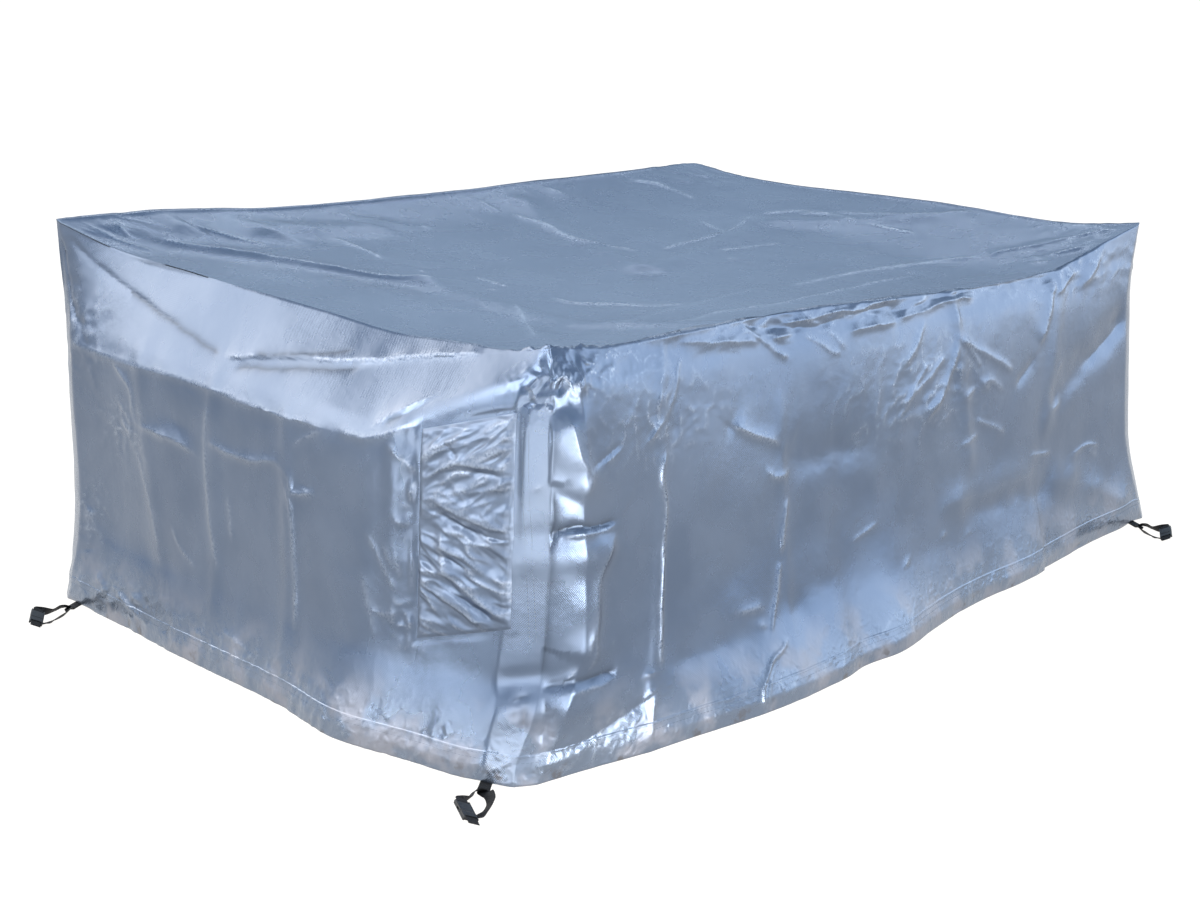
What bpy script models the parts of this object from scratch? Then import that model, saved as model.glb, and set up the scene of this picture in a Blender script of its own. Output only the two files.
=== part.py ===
"""Patio furniture cover: one sheet of coated tarpaulin cloth, folded down into four walls that reach the floor,
with a sewn-on patch beside one corner and a buckled strap at each corner.

Metres, +Z up, the floor at z = 0. West is -X, the short wall with the patch, and south is -Y, the long wall.
A wall's sheet is described by five levels, from its top edge down: edge, ridge, skirt, band and floor.
"""

import math

import bmesh
import bpy
import numpy as np
from mathutils import Euler, Matrix, Vector
from mathutils.bvhtree import BVHTree

# The cover's cut size is 242 x 162 x 100 cm
LENGTH = 2.42
WIDTH = 1.62
CLOTH = 0.002
HEM_BAND = 0.03
HEM_SOFT = 0.01

# Walls: the direction a wall faces and the direction its "along" column runs, with half the cover's size each way
WALLS = {
    "west": {"out": (-1, 0, 0), "run": (0, 1, 0), "half_out": LENGTH / 2, "half_run": WIDTH / 2},
    "east": {"out": (1, 0, 0), "run": (0, 1, 0), "half_out": LENGTH / 2, "half_run": WIDTH / 2},
    "south": {"out": (0, -1, 0), "run": (1, 0, 0), "half_out": WIDTH / 2, "half_run": LENGTH / 2},
    "north": {"out": (0, 1, 0), "run": (1, 0, 0), "half_out": WIDTH / 2, "half_run": LENGTH / 2},
}

# How each wall hangs. A row is one section across it: where it is along the wall, the height of its edge, ridge
# and skirt levels, how far each level stands out of the top's rectangle, and how softly the levels join.
SECTION = ("along", "edge_z", "ridge_z", "skirt_z", "edge_out", "ridge_out", "skirt_out", "hem_out", "soft")
SECTIONS = {
    "west": (
        (-0.81, 0.860, 0.800, 0.22, 0.000, 0.030, 0.062, 0.125, 0.30),
        (-0.68, 0.838, 0.765, 0.22, -0.010, 0.055, 0.088, 0.150, 0.25),
        (-0.55, 0.832, 0.705, 0.22, -0.025, 0.085, 0.110, 0.165, 0.22),
        (-0.36, 0.825, 0.640, 0.22, -0.035, 0.115, 0.135, 0.194, 0.20),
        (-0.12, 0.842, 0.652, 0.22, -0.035, 0.105, 0.115, 0.155, 0.20),
        (0.12, 0.860, 0.650, 0.22, -0.030, 0.092, 0.098, 0.131, 0.20),
        (0.35, 0.882, 0.655, 0.22, -0.020, 0.080, 0.082, 0.116, 0.20),
        (0.58, 0.902, 0.655, 0.22, -0.010, 0.062, 0.058, 0.088, 0.22),
        (0.81, 0.968, 0.690, 0.22, 0.040, 0.045, 0.055, 0.066, 0.35),
    ),
    "south": (
        (-1.21, 0.860, 0.800, 0.22, 0.000, 0.040, 0.044, 0.016, 0.30),
        (-1.03, 0.838, 0.740, 0.24, 0.000, 0.034, 0.050, 0.058, 0.35),
        (-0.86, 0.834, 0.720, 0.24, -0.005, 0.028, 0.056, 0.098, 0.40),
        (-0.58, 0.830, 0.710, 0.24, -0.010, 0.024, 0.064, 0.146, 0.40),
        (-0.36, 0.822, 0.700, 0.24, -0.010, 0.022, 0.064, 0.156, 0.40),
        (-0.27, 0.818, 0.700, 0.24, -0.010, 0.022, 0.060, 0.143, 0.40),
        (-0.16, 0.810, 0.690, 0.24, -0.010, 0.022, 0.060, 0.155, 0.40),
        (0.03, 0.798, 0.690, 0.24, -0.012, 0.022, 0.054, 0.124, 0.40),
        (0.22, 0.787, 0.690, 0.24, -0.015, 0.020, 0.048, 0.102, 0.40),
        (0.46, 0.778, 0.690, 0.24, -0.015, 0.018, 0.046, 0.109, 0.40),
        (0.72, 0.776, 0.690, 0.24, -0.015, 0.014, 0.040, 0.092, 0.40),
        (0.90, 0.800, 0.690, 0.24, -0.010, 0.010, 0.032, 0.071, 0.40),
        (1.08, 0.838, 0.690, 0.24, 0.000, 0.010, 0.036, 0.074, 0.40),
        (1.21, 0.860, 0.690, 0.22, 0.006, 0.014, 0.045, 0.070, 0.35),
    ),
    "east": (
        (-0.81, 0.860, 0.690, 0.22, 0.015, 0.014, 0.034, 0.060, 0.35),
        (-0.60, 0.842, 0.690, 0.22, -0.010, 0.030, 0.055, 0.095, 0.35),
        (-0.30, 0.862, 0.690, 0.22, -0.020, 0.050, 0.080, 0.128, 0.35),
        (0.05, 0.876, 0.690, 0.22, -0.025, 0.055, 0.085, 0.118, 0.35),
        (0.37, 0.882, 0.690, 0.22, -0.020, 0.045, 0.075, 0.132, 0.35),
        (0.62, 0.896, 0.690, 0.22, -0.010, 0.030, 0.055, 0.100, 0.35),
        (0.81, 0.920, 0.690, 0.22, 0.000, 0.012, 0.030, 0.060, 0.35),
    ),
    "north": (
        (-1.21, 0.968, 0.690, 0.22, 0.012, 0.030, 0.055, 0.062, 0.35),
        (-0.95, 0.962, 0.700, 0.23, -0.005, 0.032, 0.055, 0.096, 0.40),
        (-0.50, 0.936, 0.700, 0.24, -0.015, 0.040, 0.070, 0.142, 0.40),
        (-0.05, 0.927, 0.700, 0.24, -0.020, 0.040, 0.066, 0.118, 0.40),
        (0.40, 0.925, 0.700, 0.24, -0.015, 0.036, 0.064, 0.138, 0.40),
        (0.90, 0.924, 0.700, 0.23, -0.005, 0.024, 0.046, 0.088, 0.40),
        (1.21, 0.920, 0.690, 0.22, 0.000, 0.012, 0.030, 0.060, 0.35),
    ),
}

# Plan radius of the cover's four corners at each of the five levels
CORNER_ROUND = (0.025, 0.07, 0.09, 0.05, 0.05)

# Upright folds in the walls: ridges standing out of the cloth, from "low" to "high"; "lean" is how far the
# fold line moves along the wall for each metre up.
WALL_FOLD = ("wall", "along", "lean", "low", "high", "height", "width")
WALL_FOLDS = (
    ("south", -0.90, 0.05, 0.06, 0.80, 0.014, 0.024),
    ("south", -0.50, 0.02, 0.06, 0.60, 0.011, 0.024),
    ("south", 0.25, -0.10, 0.38, 0.78, 0.012, 0.028),
    ("south", 0.72, 0.22, 0.40, 0.80, 0.010, 0.034),
    ("west", -0.46, 0.00, 0.30, 0.66, 0.009, 0.024),
    ("west", -0.13, 0.00, 0.10, 0.62, 0.011, 0.024),
    ("west", 0.14, 0.00, 0.16, 0.66, 0.009, 0.024),
    ("west", 0.40, 0.12, 0.22, 0.66, 0.008, 0.028),
    ("north", -0.55, 0.04, 0.00, 0.84, 0.012, 0.030),
    ("north", 0.35, -0.05, 0.05, 0.70, 0.011, 0.030),
    ("east", -0.25, 0.05, 0.00, 0.70, 0.011, 0.030),
    ("east", 0.30, -0.04, 0.05, 0.80, 0.010, 0.030),
)

# Tucks: folds that lie across a wall near the corner, from "start" to "end" along it; a negative height is a
# valley.
TUCK = ("wall", "start", "end", "start_z", "end_z", "height", "width")
TUCKS = (
    ("south", -1.28, -1.02, 0.500, 0.490, -0.010, 0.026),
    ("south", -1.28, -1.02, 0.450, 0.440, 0.012, 0.032),
    ("west", -0.85, -0.70, 0.215, 0.190, -0.012, 0.026),
    ("south", -1.28, -1.00, 0.215, 0.185, -0.012, 0.026),
    ("west", -0.85, -0.70, 0.150, 0.130, 0.012, 0.034),
    ("south", -1.28, -0.95, 0.150, 0.125, 0.016, 0.034),
)

# How softly folds and tucks end: over metres for a fold, over a share of its length for a tuck
FOLD_BLUR = 0.08
TUCK_BLUR = 0.3

# Broad ridges across the sagging top, each from one point of the plan to another
TOP_FOLD = ("x_from", "y_from", "x_to", "y_to", "height", "width")
TOP_FOLDS = (
    (-1.05, 0.72, -0.40, 0.62, 0.012, 0.060),
    (-1.02, 0.66, -0.70, 0.10, 0.010, 0.050),
    (-0.70, 0.10, -0.72, -0.40, 0.007, 0.045),
    (0.25, 0.68, -0.05, -0.02, 0.009, 0.045),
    (-0.02, -0.05, 0.70, 0.15, 0.008, 0.045),
    (0.75, 0.18, 1.12, -0.30, 0.008, 0.050),
    (-0.75, -0.45, -0.55, -0.68, 0.008, 0.045),
    (-1.02, -0.62, -0.85, -0.40, 0.008, 0.045),
)
TOP_SAG = 0.030
TOP_FOLD_END = 6.0

# Mesh lines of the sheet
STEP = 0.088
FOLD_FOOT = 0.034
CORNER_LINES = (0.020, 0.050, 0.090)
LINE_SPACE = 0.040
LEAN_SPREAD = 0.100
DOWN_ROWS = (0.3, 0.6, 0.85, 1, 1.15, 1.4, 1.65, 1.85, 2.05, 2.35, 2.7, 3, 4)

# The patch sewn on the west wall beside the south corner
PATCH_ALONG = (-0.765, -0.545)
PATCH_LOW = (0.305, 0.245)
PATCH_HIGH = (0.735, 0.675)
PATCH_CELLS = (10, 20)
PATCH_THICK = 0.0015
PATCH_GAP = 0.0012
PATCH_CRUMPLE = 0.007

# Straps: 25 mm webbing, a buckled loop at each corner that comes out from under the hem
WEB_WIDTH = 0.025
WEB_THICK = 0.0014
GAP = 0.0003
STUB_INSIDE = 0.024
HEM_LIFT_SPREAD = 0.050
LIFT_FREE_END = 0.020
STRAP = ("corner", "wall", "along", "heading_deg", "side", "hem_lift")
STRAPS = (
    ("near", "west", -0.746, 216.0, 1, 0.0051),
    ("left", "west", 0.715, 205.0, 1, 0.0051),
    ("right", "south", 1.100, 236.0, -1, 0.0065),
    ("back", "north", 1.100, 60.0, 1, 0.0065),
)

# A webbing's path, row by row: the place of its centre out from the hem, sideways and up, the way that its
# width lies across (0 is square to the strap's own heading), and its roll, 0 flat and 90 on edge. On the legs,
# which lie on the floor, the third column is only how far the lower edge is lifted off it.
WEB_POINT = ("out", "side", "z", "heading_deg", "roll_deg")
SOCKET_LEG = (
    (-STUB_INSIDE, 0.0000, WEB_THICK + GAP, 0, 0),
    (0.000, 0.0000, WEB_THICK + GAP, 0, 0),
    (0.034, -0.0005, WEB_THICK + GAP, -2, 0),
    (0.044, -0.0050, WEB_THICK + GAP, -10, 18),
    (0.054, -0.0115, WEB_THICK, -16, 36),
    (0.068, -0.0165, 0.0, -14, 46),
    (0.090, -0.0190, 0.0, -6, 42),
    (0.110, -0.0235, 0.0030, -6, 62),
    (0.125, -0.0275, 0.0080, 6, 108),
)
PLUG_LEG = (
    (-STUB_INSIDE, 0.0000, 0.0, 0, 0),
    (0.000, 0.0000, 0.0, 0, 0),
    (0.041, 0.0010, 0.0, 4, 0),
    (0.054, 0.0085, 0.0, 14, 24),
    (0.068, 0.0175, 0.0, 16, 44),
    (0.100, 0.0255, 0.0, 2, 44),
    (0.126, 0.0235, 0.0, -12, 40),
    (0.142, 0.0165, 0.0, -16, 24),
    (0.154, 0.0095, 0.0006, -8, 8),
)

# The side-release buckle: how it is turned from its strap's heading, tilted onto one long edge and pitched up
# towards the hem, and where its mouth lies
BUCKLE_TURN_DEG = 27.0
BUCKLE_TILT_DEG = 25.0
BUCKLE_PITCH_DEG = 10.0
BUCKLE_MOUTH = (0.170, -0.010)
BUCKLE_WIDTH = 0.033
BUCKLE_HIGH = 0.009
SOCKET_LONG = 0.036
PLUG_LONG = 0.024
BAR_LONG = 0.003
BAR_HIGH = 0.0036
BAR_TURN = 0.0031
BAR_LEAD = 0.009
BAR_SQUARE = 0.66
SLOT_LONG = 0.0046
SLOT_WIDTH = 0.0266
TAIL_LONG = 0.017
CAVITY = (0.020, 0.0262, 0.0056)
SIDE_WINDOW = (-0.015, -0.006, 0.004)
PRONG_LONG = 0.018
PRONG_HIGH = 0.0046
PRONG_WIDTH = 0.0048
PRONG_APART = 0.0196
PRONG_ROOT = 0.004
GUIDE_LONG = 0.0126
GUIDE_WIDTH = 0.007
EDGE_BEVEL = 0.0016
PAST = 0.01

SILVER = {"color": (0.36, 0.45, 0.58, 1), "roughness": 0.38, "metallic": 0.35}
BLACK_WEB = {"color": (0.012, 0.013, 0.015, 1), "roughness": 0.8, "metallic": 0.0}
BLACK_PLASTIC = {"color": (0.015, 0.016, 0.018, 1), "roughness": 0.42, "metallic": 0.0}


# ---- the sheet's shape ---------------------------------------------------------------------------------


def glide(at, places, values):
    """A smooth curve through the values at the places, with no overshoot between them."""
    places, values = np.asarray(places, float), np.asarray(values, float)
    step = np.diff(places)
    slope = np.diff(values) / step
    product = slope[1:] * slope[:-1]
    total = np.where(product > 0, slope[1:] + slope[:-1], 1.0)
    tangent = np.concatenate([slope[:1], np.where(product > 0, 2 * product / total, 0.0), slope[-1:]])
    index = np.clip(np.searchsorted(places, at) - 1, 0, len(step) - 1)
    part = (at - places[index]) / step[index]
    low, high = values[index], values[index + 1]
    start, end = tangent[index] * step[index], tangent[index + 1] * step[index]
    cubic = 2 * (low - high) + start + end
    return ((cubic * part + (3 * (high - low) - 2 * start - end)) * part + start) * part + low


def bend(down, levels, soft):
    """Straight runs between the levels at down = 0, 1, 2 and so on, each inner corner rounded over soft."""
    index = np.clip(np.floor(down).astype(int), 0, len(levels) - 2)
    part = down - index
    column = np.arange(levels.shape[1])
    value = levels[index, column] * (1 - part) + levels[index + 1, column] * part
    for corner in range(1, len(levels) - 1):
        turn = levels[corner + 1] - 2 * levels[corner] + levels[corner - 1]
        near = np.clip(1 - np.abs(down - corner) / soft, 0, 1)
        value = value + turn * soft / 4 * near**2
    return value


def bump(distance, width):
    return np.exp(-((distance / width) ** 2))


def fade(value, low, high, blur):
    """1 between low and high, falling smoothly to 0 over blur outside them."""
    rise = np.clip((value - low) / blur + 1, 0, 1)
    fall = np.clip((high - value) / blur + 1, 0, 1)
    return rise * rise * (3 - 2 * rise) * fall * fall * (3 - 2 * fall)


def rows_of(table, columns, wall):
    """The table's rows for one wall, each as a dictionary by column name."""
    rows = (dict(zip(columns, row)) for row in table)
    return [row for row in rows if row["wall"] == wall]


def section(wall, along, down):
    """(outward distance, height) of a wall's plain sheet, before its folds."""
    table = np.array(SECTIONS[wall])
    at = {name: glide(along, table[:, 0], table[:, i]) for i, name in enumerate(SECTION) if i}
    flat = np.zeros_like(along)
    heights = np.array([at["edge_z"], at["ridge_z"], at["skirt_z"], flat + HEM_BAND, flat])
    outs = np.array([at["edge_out"], at["ridge_out"], at["skirt_out"], at["hem_out"], at["hem_out"]])
    soft = np.where(down > 2.5, HEM_SOFT, at["soft"])
    return bend(down, outs, soft), bend(down, heights, soft)


def folded_section(wall, along, down):
    """(outward distance, height) of a wall with its folds, its tucks and the straps' lift of its hem."""
    out, height = section(wall, along, down)
    for fold in rows_of(WALL_FOLDS, WALL_FOLD, wall):
        near = bump(along - fold["along"], fold["width"]) * (down > 0)
        reach = fade(np.maximum(height, HEM_BAND), fold["low"], fold["high"], FOLD_BLUR)
        out = out + fold["height"] * near * reach
    for tuck in rows_of(TUCKS, TUCK, wall):
        part = (along - tuck["start"]) / (tuck["end"] - tuck["start"])
        line = tuck["start_z"] + (tuck["end_z"] - tuck["start_z"]) * np.clip(part, 0, 1)
        reach = fade(part, 0, 1 - TUCK_BLUR, TUCK_BLUR)
        out = out + tuck["height"] * bump(height - line, tuck["width"]) * reach
    for strap in rows_of(STRAPS, STRAP, wall):
        from_end = WALLS[wall]["half_run"] - np.abs(along)
        near_end = bump(from_end, LIFT_FREE_END)
        lift = strap["hem_lift"] * bump(along - strap["along"], HEM_LIFT_SPREAD) * (1 - near_end)
        height = height + lift * np.clip(down - 2, 0, 1)
    return out, height


def corner_shift(wall, end, down):
    """How far the neighbouring wall carries this wall's corner outwards along it, at end -1 or 1."""
    neighbours = ("south", "north") if wall in ("west", "east") else ("west", "east")
    neighbour = neighbours[0] if end < 0 else neighbours[1]
    own_side = -1 if wall in ("west", "south") else 1
    corner = own_side * WALLS[neighbour]["half_run"]
    return folded_section(neighbour, np.full_like(down, corner), down)[0]


def wall_points(wall, along, down):
    """World points of a wall, for arrays of its along and down values."""
    along, down = np.broadcast_arrays(np.asarray(along, float), np.asarray(down, float))
    along, down = along.ravel(), down.ravel()
    frame = WALLS[wall]
    half = frame["half_run"]
    out, height = folded_section(wall, along, down)

    run = along.copy()
    for fold in rows_of(WALL_FOLDS, WALL_FOLD, wall):
        middle = (fold["low"] + fold["high"]) / 2
        run = run + fold["lean"] * (height - middle) * bump(along - fold["along"], LEAN_SPREAD) * (down > 0)
    share = (along + half) / (2 * half)
    low_shift, high_shift = corner_shift(wall, -1, down), corner_shift(wall, 1, down)
    run = run - (1 - share) ** 2 * low_shift + share**2 * high_shift

    radius = np.interp(down, range(len(CORNER_ROUND)), CORNER_ROUND)
    for end, shift in ((-1, low_shift), (1, high_shift)):
        corner = end * (half + shift)
        distance = np.abs(corner - run)
        turn = np.clip(1 - distance / radius, 0, 1) * math.pi / 4
        inside = distance < radius
        out = np.where(inside, out - radius * (1 - np.cos(turn)), out)
        run = np.where(inside, corner - end * radius * (1 - np.sin(turn)), run)

    outward = frame["half_out"] + out
    points = np.outer(outward, frame["out"]) + np.outer(run, frame["run"])
    points[:, 2] = height
    return points


def top_points(x_lines, y_lines):
    """World points of the top, a sheet hung between the four walls' edges, as an array [x line, y line]."""
    share_x = ((x_lines / LENGTH) + 0.5)[:, None, None]
    share_y = ((y_lines / WIDTH) + 0.5)[None, :, None]
    zero_x, zero_y = np.zeros_like(x_lines), np.zeros_like(y_lines)
    south = wall_points("south", x_lines, zero_x)[:, None, :]
    north = wall_points("north", x_lines, zero_x)[:, None, :]
    west = wall_points("west", y_lines, zero_y)[None, :, :]
    east = wall_points("east", y_lines, zero_y)[None, :, :]
    sides = (1 - share_y) * south + share_y * north + (1 - share_x) * west + share_x * east
    corners = (
        (1 - share_x) * (1 - share_y) * south[:1]
        + share_x * (1 - share_y) * south[-1:]
        + (1 - share_x) * share_y * north[:1]
        + share_x * share_y * north[-1:]
    )
    points = sides - corners
    x, y = points[..., 0], points[..., 1]
    inside = np.sin(math.pi * share_x[..., 0]) * np.sin(math.pi * share_y[..., 0])
    points[..., 2] -= TOP_SAG * np.sqrt(np.clip(inside, 0, 1))
    for fold in (dict(zip(TOP_FOLD, row)) for row in TOP_FOLDS):
        points[..., 2] += segment_bump(x, y, fold) * np.clip(inside * TOP_FOLD_END, 0, 1)
    return points


def segment_bump(x, y, fold):
    """A ridge along the segment of the plan that the fold gives."""
    run_x, run_y = fold["x_to"] - fold["x_from"], fold["y_to"] - fold["y_from"]
    part = np.clip(((x - fold["x_from"]) * run_x + (y - fold["y_from"]) * run_y) / (run_x**2 + run_y**2), 0, 1)
    away = np.hypot(x - fold["x_from"] - part * run_x, y - fold["y_from"] - part * run_y)
    return fold["height"] * bump(away, fold["width"])


# ---- making objects ------------------------------------------------------------------------------------


def material(name, look):
    made = bpy.data.materials.new(name)
    made.use_nodes = True
    shader = made.node_tree.nodes["Principled BSDF"]
    shader.inputs["Base Color"].default_value = look["color"]
    shader.inputs["Roughness"].default_value = look["roughness"]
    shader.inputs["Metallic"].default_value = look["metallic"]
    made.diffuse_color = look["color"]
    return made


def new_object(name, mesh, finish, collection):
    made = bpy.data.objects.new(name, mesh)
    made.data.materials.append(finish)
    collection.objects.link(made)
    return made


def mesh_from(build, name):
    mesh = bpy.data.meshes.new(name)
    build.to_mesh(mesh)
    build.free()
    mesh.shade_smooth()
    mesh.set_sharp_from_angle(angle=math.radians(50))
    return mesh


def thicken(thing, thickness, offset):
    shell = thing.modifiers.new("Thickness", "SOLIDIFY")
    shell.thickness = thickness
    shell.offset = offset


def lines_across(half, folds):
    """Mesh lines across the cover: even steps, with lines of their own at the corners and on each fold."""
    wanted = [-half, half]
    wanted += [end * (half - inset) for end in (-1, 1) for inset in CORNER_LINES]
    wanted += [line + foot for line in folds for foot in (-FOLD_FOOT, 0, FOLD_FOOT)]
    even = np.linspace(-half, half, round(2 * half / STEP) + 1)
    spare = [line for line in even if min(abs(line - other) for other in wanted) > LINE_SPACE]
    return np.array(sorted(wanted + spare))


def cover_sheet():
    """The cover as one sheet: a grid less its four corner squares, folded down and sewn at the corners."""
    fold_lines = {
        "x": [row[1] for row in WALL_FOLDS if row[0] == "south"],
        "y": [row[1] for row in WALL_FOLDS if row[0] == "west"],
    }
    x_lines = lines_across(LENGTH / 2, fold_lines["x"])
    y_lines = lines_across(WIDTH / 2, fold_lines["y"])
    downs = np.array(DOWN_ROWS, float)
    rows, columns_x, columns_y = len(downs), len(x_lines), len(y_lines)
    cells_x, cells_y = columns_x - 1 + 2 * rows, columns_y - 1 + 2 * rows

    build = bmesh.new()
    bmesh.ops.create_grid(build, x_segments=cells_x, y_segments=cells_y, size=0.5)
    place = {
        v: (round((v.co.x + 0.5) * cells_x) - rows, round((v.co.y + 0.5) * cells_y) - rows)
        for v in build.verts
    }
    notches = [
        v for v, (i, j) in place.items()
        if not (0 <= i < columns_x) and not (0 <= j < columns_y)
    ]
    bmesh.ops.delete(build, geom=notches, context="VERTS")

    top = top_points(x_lines, y_lines)
    lines = {"west": y_lines, "east": y_lines, "south": x_lines, "north": x_lines}
    skirts = {
        wall: wall_points(wall, lines[wall][:, None], downs[None, :]).reshape(len(lines[wall]), rows, 3)
        for wall in WALLS
    }
    for v in build.verts:
        i, j = place[v]
        if i < 0:
            v.co = skirts["west"][j, -i - 1]
        elif i >= columns_x:
            v.co = skirts["east"][j, i - columns_x]
        elif j < 0:
            v.co = skirts["south"][i, -j - 1]
        elif j >= columns_y:
            v.co = skirts["north"][i, j - columns_y]
        else:
            v.co = top[i, j]
    bmesh.ops.remove_doubles(build, verts=build.verts, dist=1e-5)
    bmesh.ops.triangulate(build, faces=build.faces)
    return mesh_from(build, "cover_cloth")


def crumple(across, up):
    """Relief of the crumpled patch, 0 to 1: slanting folds that fan out from the pucker beside its far seam."""
    waves = (
        np.sin(5.2 * math.pi * (up + 0.35 * across)) * 0.45
        + np.sin(9.1 * math.pi * (up - 0.22 * across) + 1.1) * 0.30
        + np.sin(4.3 * math.pi * across + 3.0 * up) * 0.25
    )
    rim = np.clip(np.minimum(np.minimum(across, 1 - across), np.minimum(up, 1 - up)) * 7, 0, 1)
    return (0.5 + 0.5 * waves) * rim


def patch_sheet(cloth_tree):
    """The crumpled patch: a grid laid on the wall behind it and lifted by its own folds."""
    build = bmesh.new()
    cells_along, cells_up = PATCH_CELLS
    bmesh.ops.create_grid(build, x_segments=cells_along, y_segments=cells_up, size=0.5)
    for v in build.verts:
        across, up = v.co.x + 0.5, v.co.y + 0.5
        low = PATCH_LOW[0] + (PATCH_LOW[1] - PATCH_LOW[0]) * across
        high = PATCH_HIGH[0] + (PATCH_HIGH[1] - PATCH_HIGH[0]) * across
        run = PATCH_ALONG[0] + (PATCH_ALONG[1] - PATCH_ALONG[0]) * across
        start = Vector((-LENGTH, run, low + (high - low) * up))
        spot, normal, _, _ = cloth_tree.ray_cast(start, Vector((1, 0, 0)))
        v.co = spot + normal * (PATCH_GAP + PATCH_CRUMPLE * float(crumple(across, up)))
    bmesh.ops.reverse_faces(build, faces=build.faces)
    return mesh_from(build, "corner_patch")


def sheet_tree(mesh):
    """A ray-cast tree of a sheet's outer face."""
    build = bmesh.new()
    build.from_mesh(mesh)
    tree = BVHTree.FromBMesh(build)
    build.free()
    return tree


def box_mesh(low, high):
    build = bmesh.new()
    bmesh.ops.create_cube(build, size=1)
    for v in build.verts:
        v.co = [low[i] + (high[i] - low[i]) * (v.co[i] + 0.5) for i in range(3)]
    return mesh_from(build, "block")


def carve(name, blocks, cutters, bevel):
    """One mesh: the first block rounded, joined with the other blocks, less the cutters."""
    holder = bpy.context.scene.collection
    helpers = []
    body = bpy.data.objects.new(name, box_mesh(*blocks[0]))
    holder.objects.link(body)
    rounding = body.modifiers.new("Edges", "BEVEL")
    rounding.width = bevel
    rounding.segments = 2
    for operation, boxes in (("UNION", blocks[1:]), ("DIFFERENCE", cutters)):
        for low, high in boxes:
            other = bpy.data.objects.new("cutter", box_mesh(low, high))
            holder.objects.link(other)
            helpers.append(other)
            join = body.modifiers.new(operation, "BOOLEAN")
            join.operation = operation
            join.object = other
    bpy.context.view_layer.update()
    graph = bpy.context.evaluated_depsgraph_get()
    mesh = bpy.data.meshes.new_from_object(body.evaluated_get(graph))
    mesh.name = name
    for thing in [body, *helpers]:
        bpy.data.objects.remove(thing)
    return mesh


def across_box(x_low, x_high, width, z_low, z_high):
    return (x_low, -width / 2, z_low), (x_high, width / 2, z_high)


def bar_cutters(bar_low, outer, inner):
    """Cuts that leave a thin bar for webbing: a slot on its inner side, and room above and below the bar."""
    bar_high = bar_low + BAR_LONG
    middle = BUCKLE_HIGH / 2
    low, high = min(outer, inner), max(outer, inner)
    slot_low, slot_high = (bar_high, high) if inner > bar_low else (low, bar_low)
    return [
        across_box(slot_low, slot_high, SLOT_WIDTH, -PAST, BUCKLE_HIGH + PAST),
        across_box(low, high, SLOT_WIDTH, middle + BAR_HIGH / 2, BUCKLE_HIGH + PAST),
        across_box(low, high, SLOT_WIDTH, -PAST, middle - BAR_HIGH / 2),
    ]


def socket_mesh():
    """Buckle socket, along local X with its mouth at x = 0: hollow, a window at each side and a rear bar."""
    middle = BUCKLE_HIGH / 2
    cavity_long, cavity_wide, cavity_high = CAVITY
    body = across_box(-SOCKET_LONG, 0, BUCKLE_WIDTH, 0, BUCKLE_HIGH)
    window_from, window_to, window_high = SIDE_WINDOW
    cavity = across_box(-cavity_long, PAST, cavity_wide, middle - cavity_high / 2, middle + cavity_high / 2)
    windows = across_box(
        window_from, window_to, BUCKLE_WIDTH + PAST, middle - window_high / 2, middle + window_high / 2
    )
    rear = bar_cutters(-SOCKET_LONG, -SOCKET_LONG - PAST, -SOCKET_LONG + BAR_LONG + SLOT_LONG)
    return carve("buckle_socket", [body], [cavity, windows, *rear], EDGE_BEVEL)


def plug_mesh():
    """Buckle plug: a base with a bar for its webbing, and two prongs and a guide that sit inside the socket."""
    middle = BUCKLE_HIGH / 2
    base = across_box(GAP, PLUG_LONG, BUCKLE_WIDTH, 0, BUCKLE_HIGH)
    low_z, high_z = middle - PRONG_HIGH / 2, middle + PRONG_HIGH / 2
    guide = across_box(-GUIDE_LONG, PRONG_ROOT, GUIDE_WIDTH, low_z, high_z)
    prongs = [
        ((-PRONG_LONG, y - PRONG_WIDTH / 2, low_z), (PRONG_ROOT, y + PRONG_WIDTH / 2, high_z))
        for y in (-PRONG_APART / 2, PRONG_APART / 2)
    ]
    bar_low = PLUG_LONG - BAR_LONG
    cuts = bar_cutters(bar_low, PLUG_LONG + PAST, bar_low - SLOT_LONG)
    return carve("buckle_plug", [base, guide, *prongs], cuts, EDGE_BEVEL)


def webbing(name, rows, place, finish, collection):
    """A strip of webbing along a smooth path through the rows; place turns a strap's place into the world's."""
    table = np.array(rows)
    steps = np.linspace(0, len(table) - 1, 3 * (len(table) - 1) + 1)
    path = {column: glide(steps, np.arange(len(table)), table[:, i]) for i, column in enumerate(WEB_POINT)}
    build = bmesh.new()
    bmesh.ops.create_grid(build, x_segments=len(steps) - 1, y_segments=1, size=0.5)
    for v in build.verts:
        step = round((v.co.x + 0.5) * (len(steps) - 1))
        heading, roll = math.radians(path["heading_deg"][step]), math.radians(path["roll_deg"][step])
        level = math.cos(roll) * v.co.y * WEB_WIDTH
        out = path["out"][step] - math.sin(heading) * level
        side = path["side"][step] + math.cos(heading) * level
        v.co = place(out, side, path["z"][step] + math.sin(roll) * v.co.y * WEB_WIDTH)
    made = new_object(name, mesh_from(build, name), finish, collection)
    thicken(made, WEB_THICK, 0)
    return made


def resting(row):
    """The row of a leg with its centre's height worked out from how far its lower edge is lifted off the floor."""
    out, side, lift, heading_deg, roll_deg = row
    roll = math.radians(roll_deg)
    height = GAP + lift + abs(math.sin(roll)) * WEB_WIDTH / 2 + abs(math.cos(roll)) * WEB_THICK / 2
    return out, side, height, heading_deg, roll_deg


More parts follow.
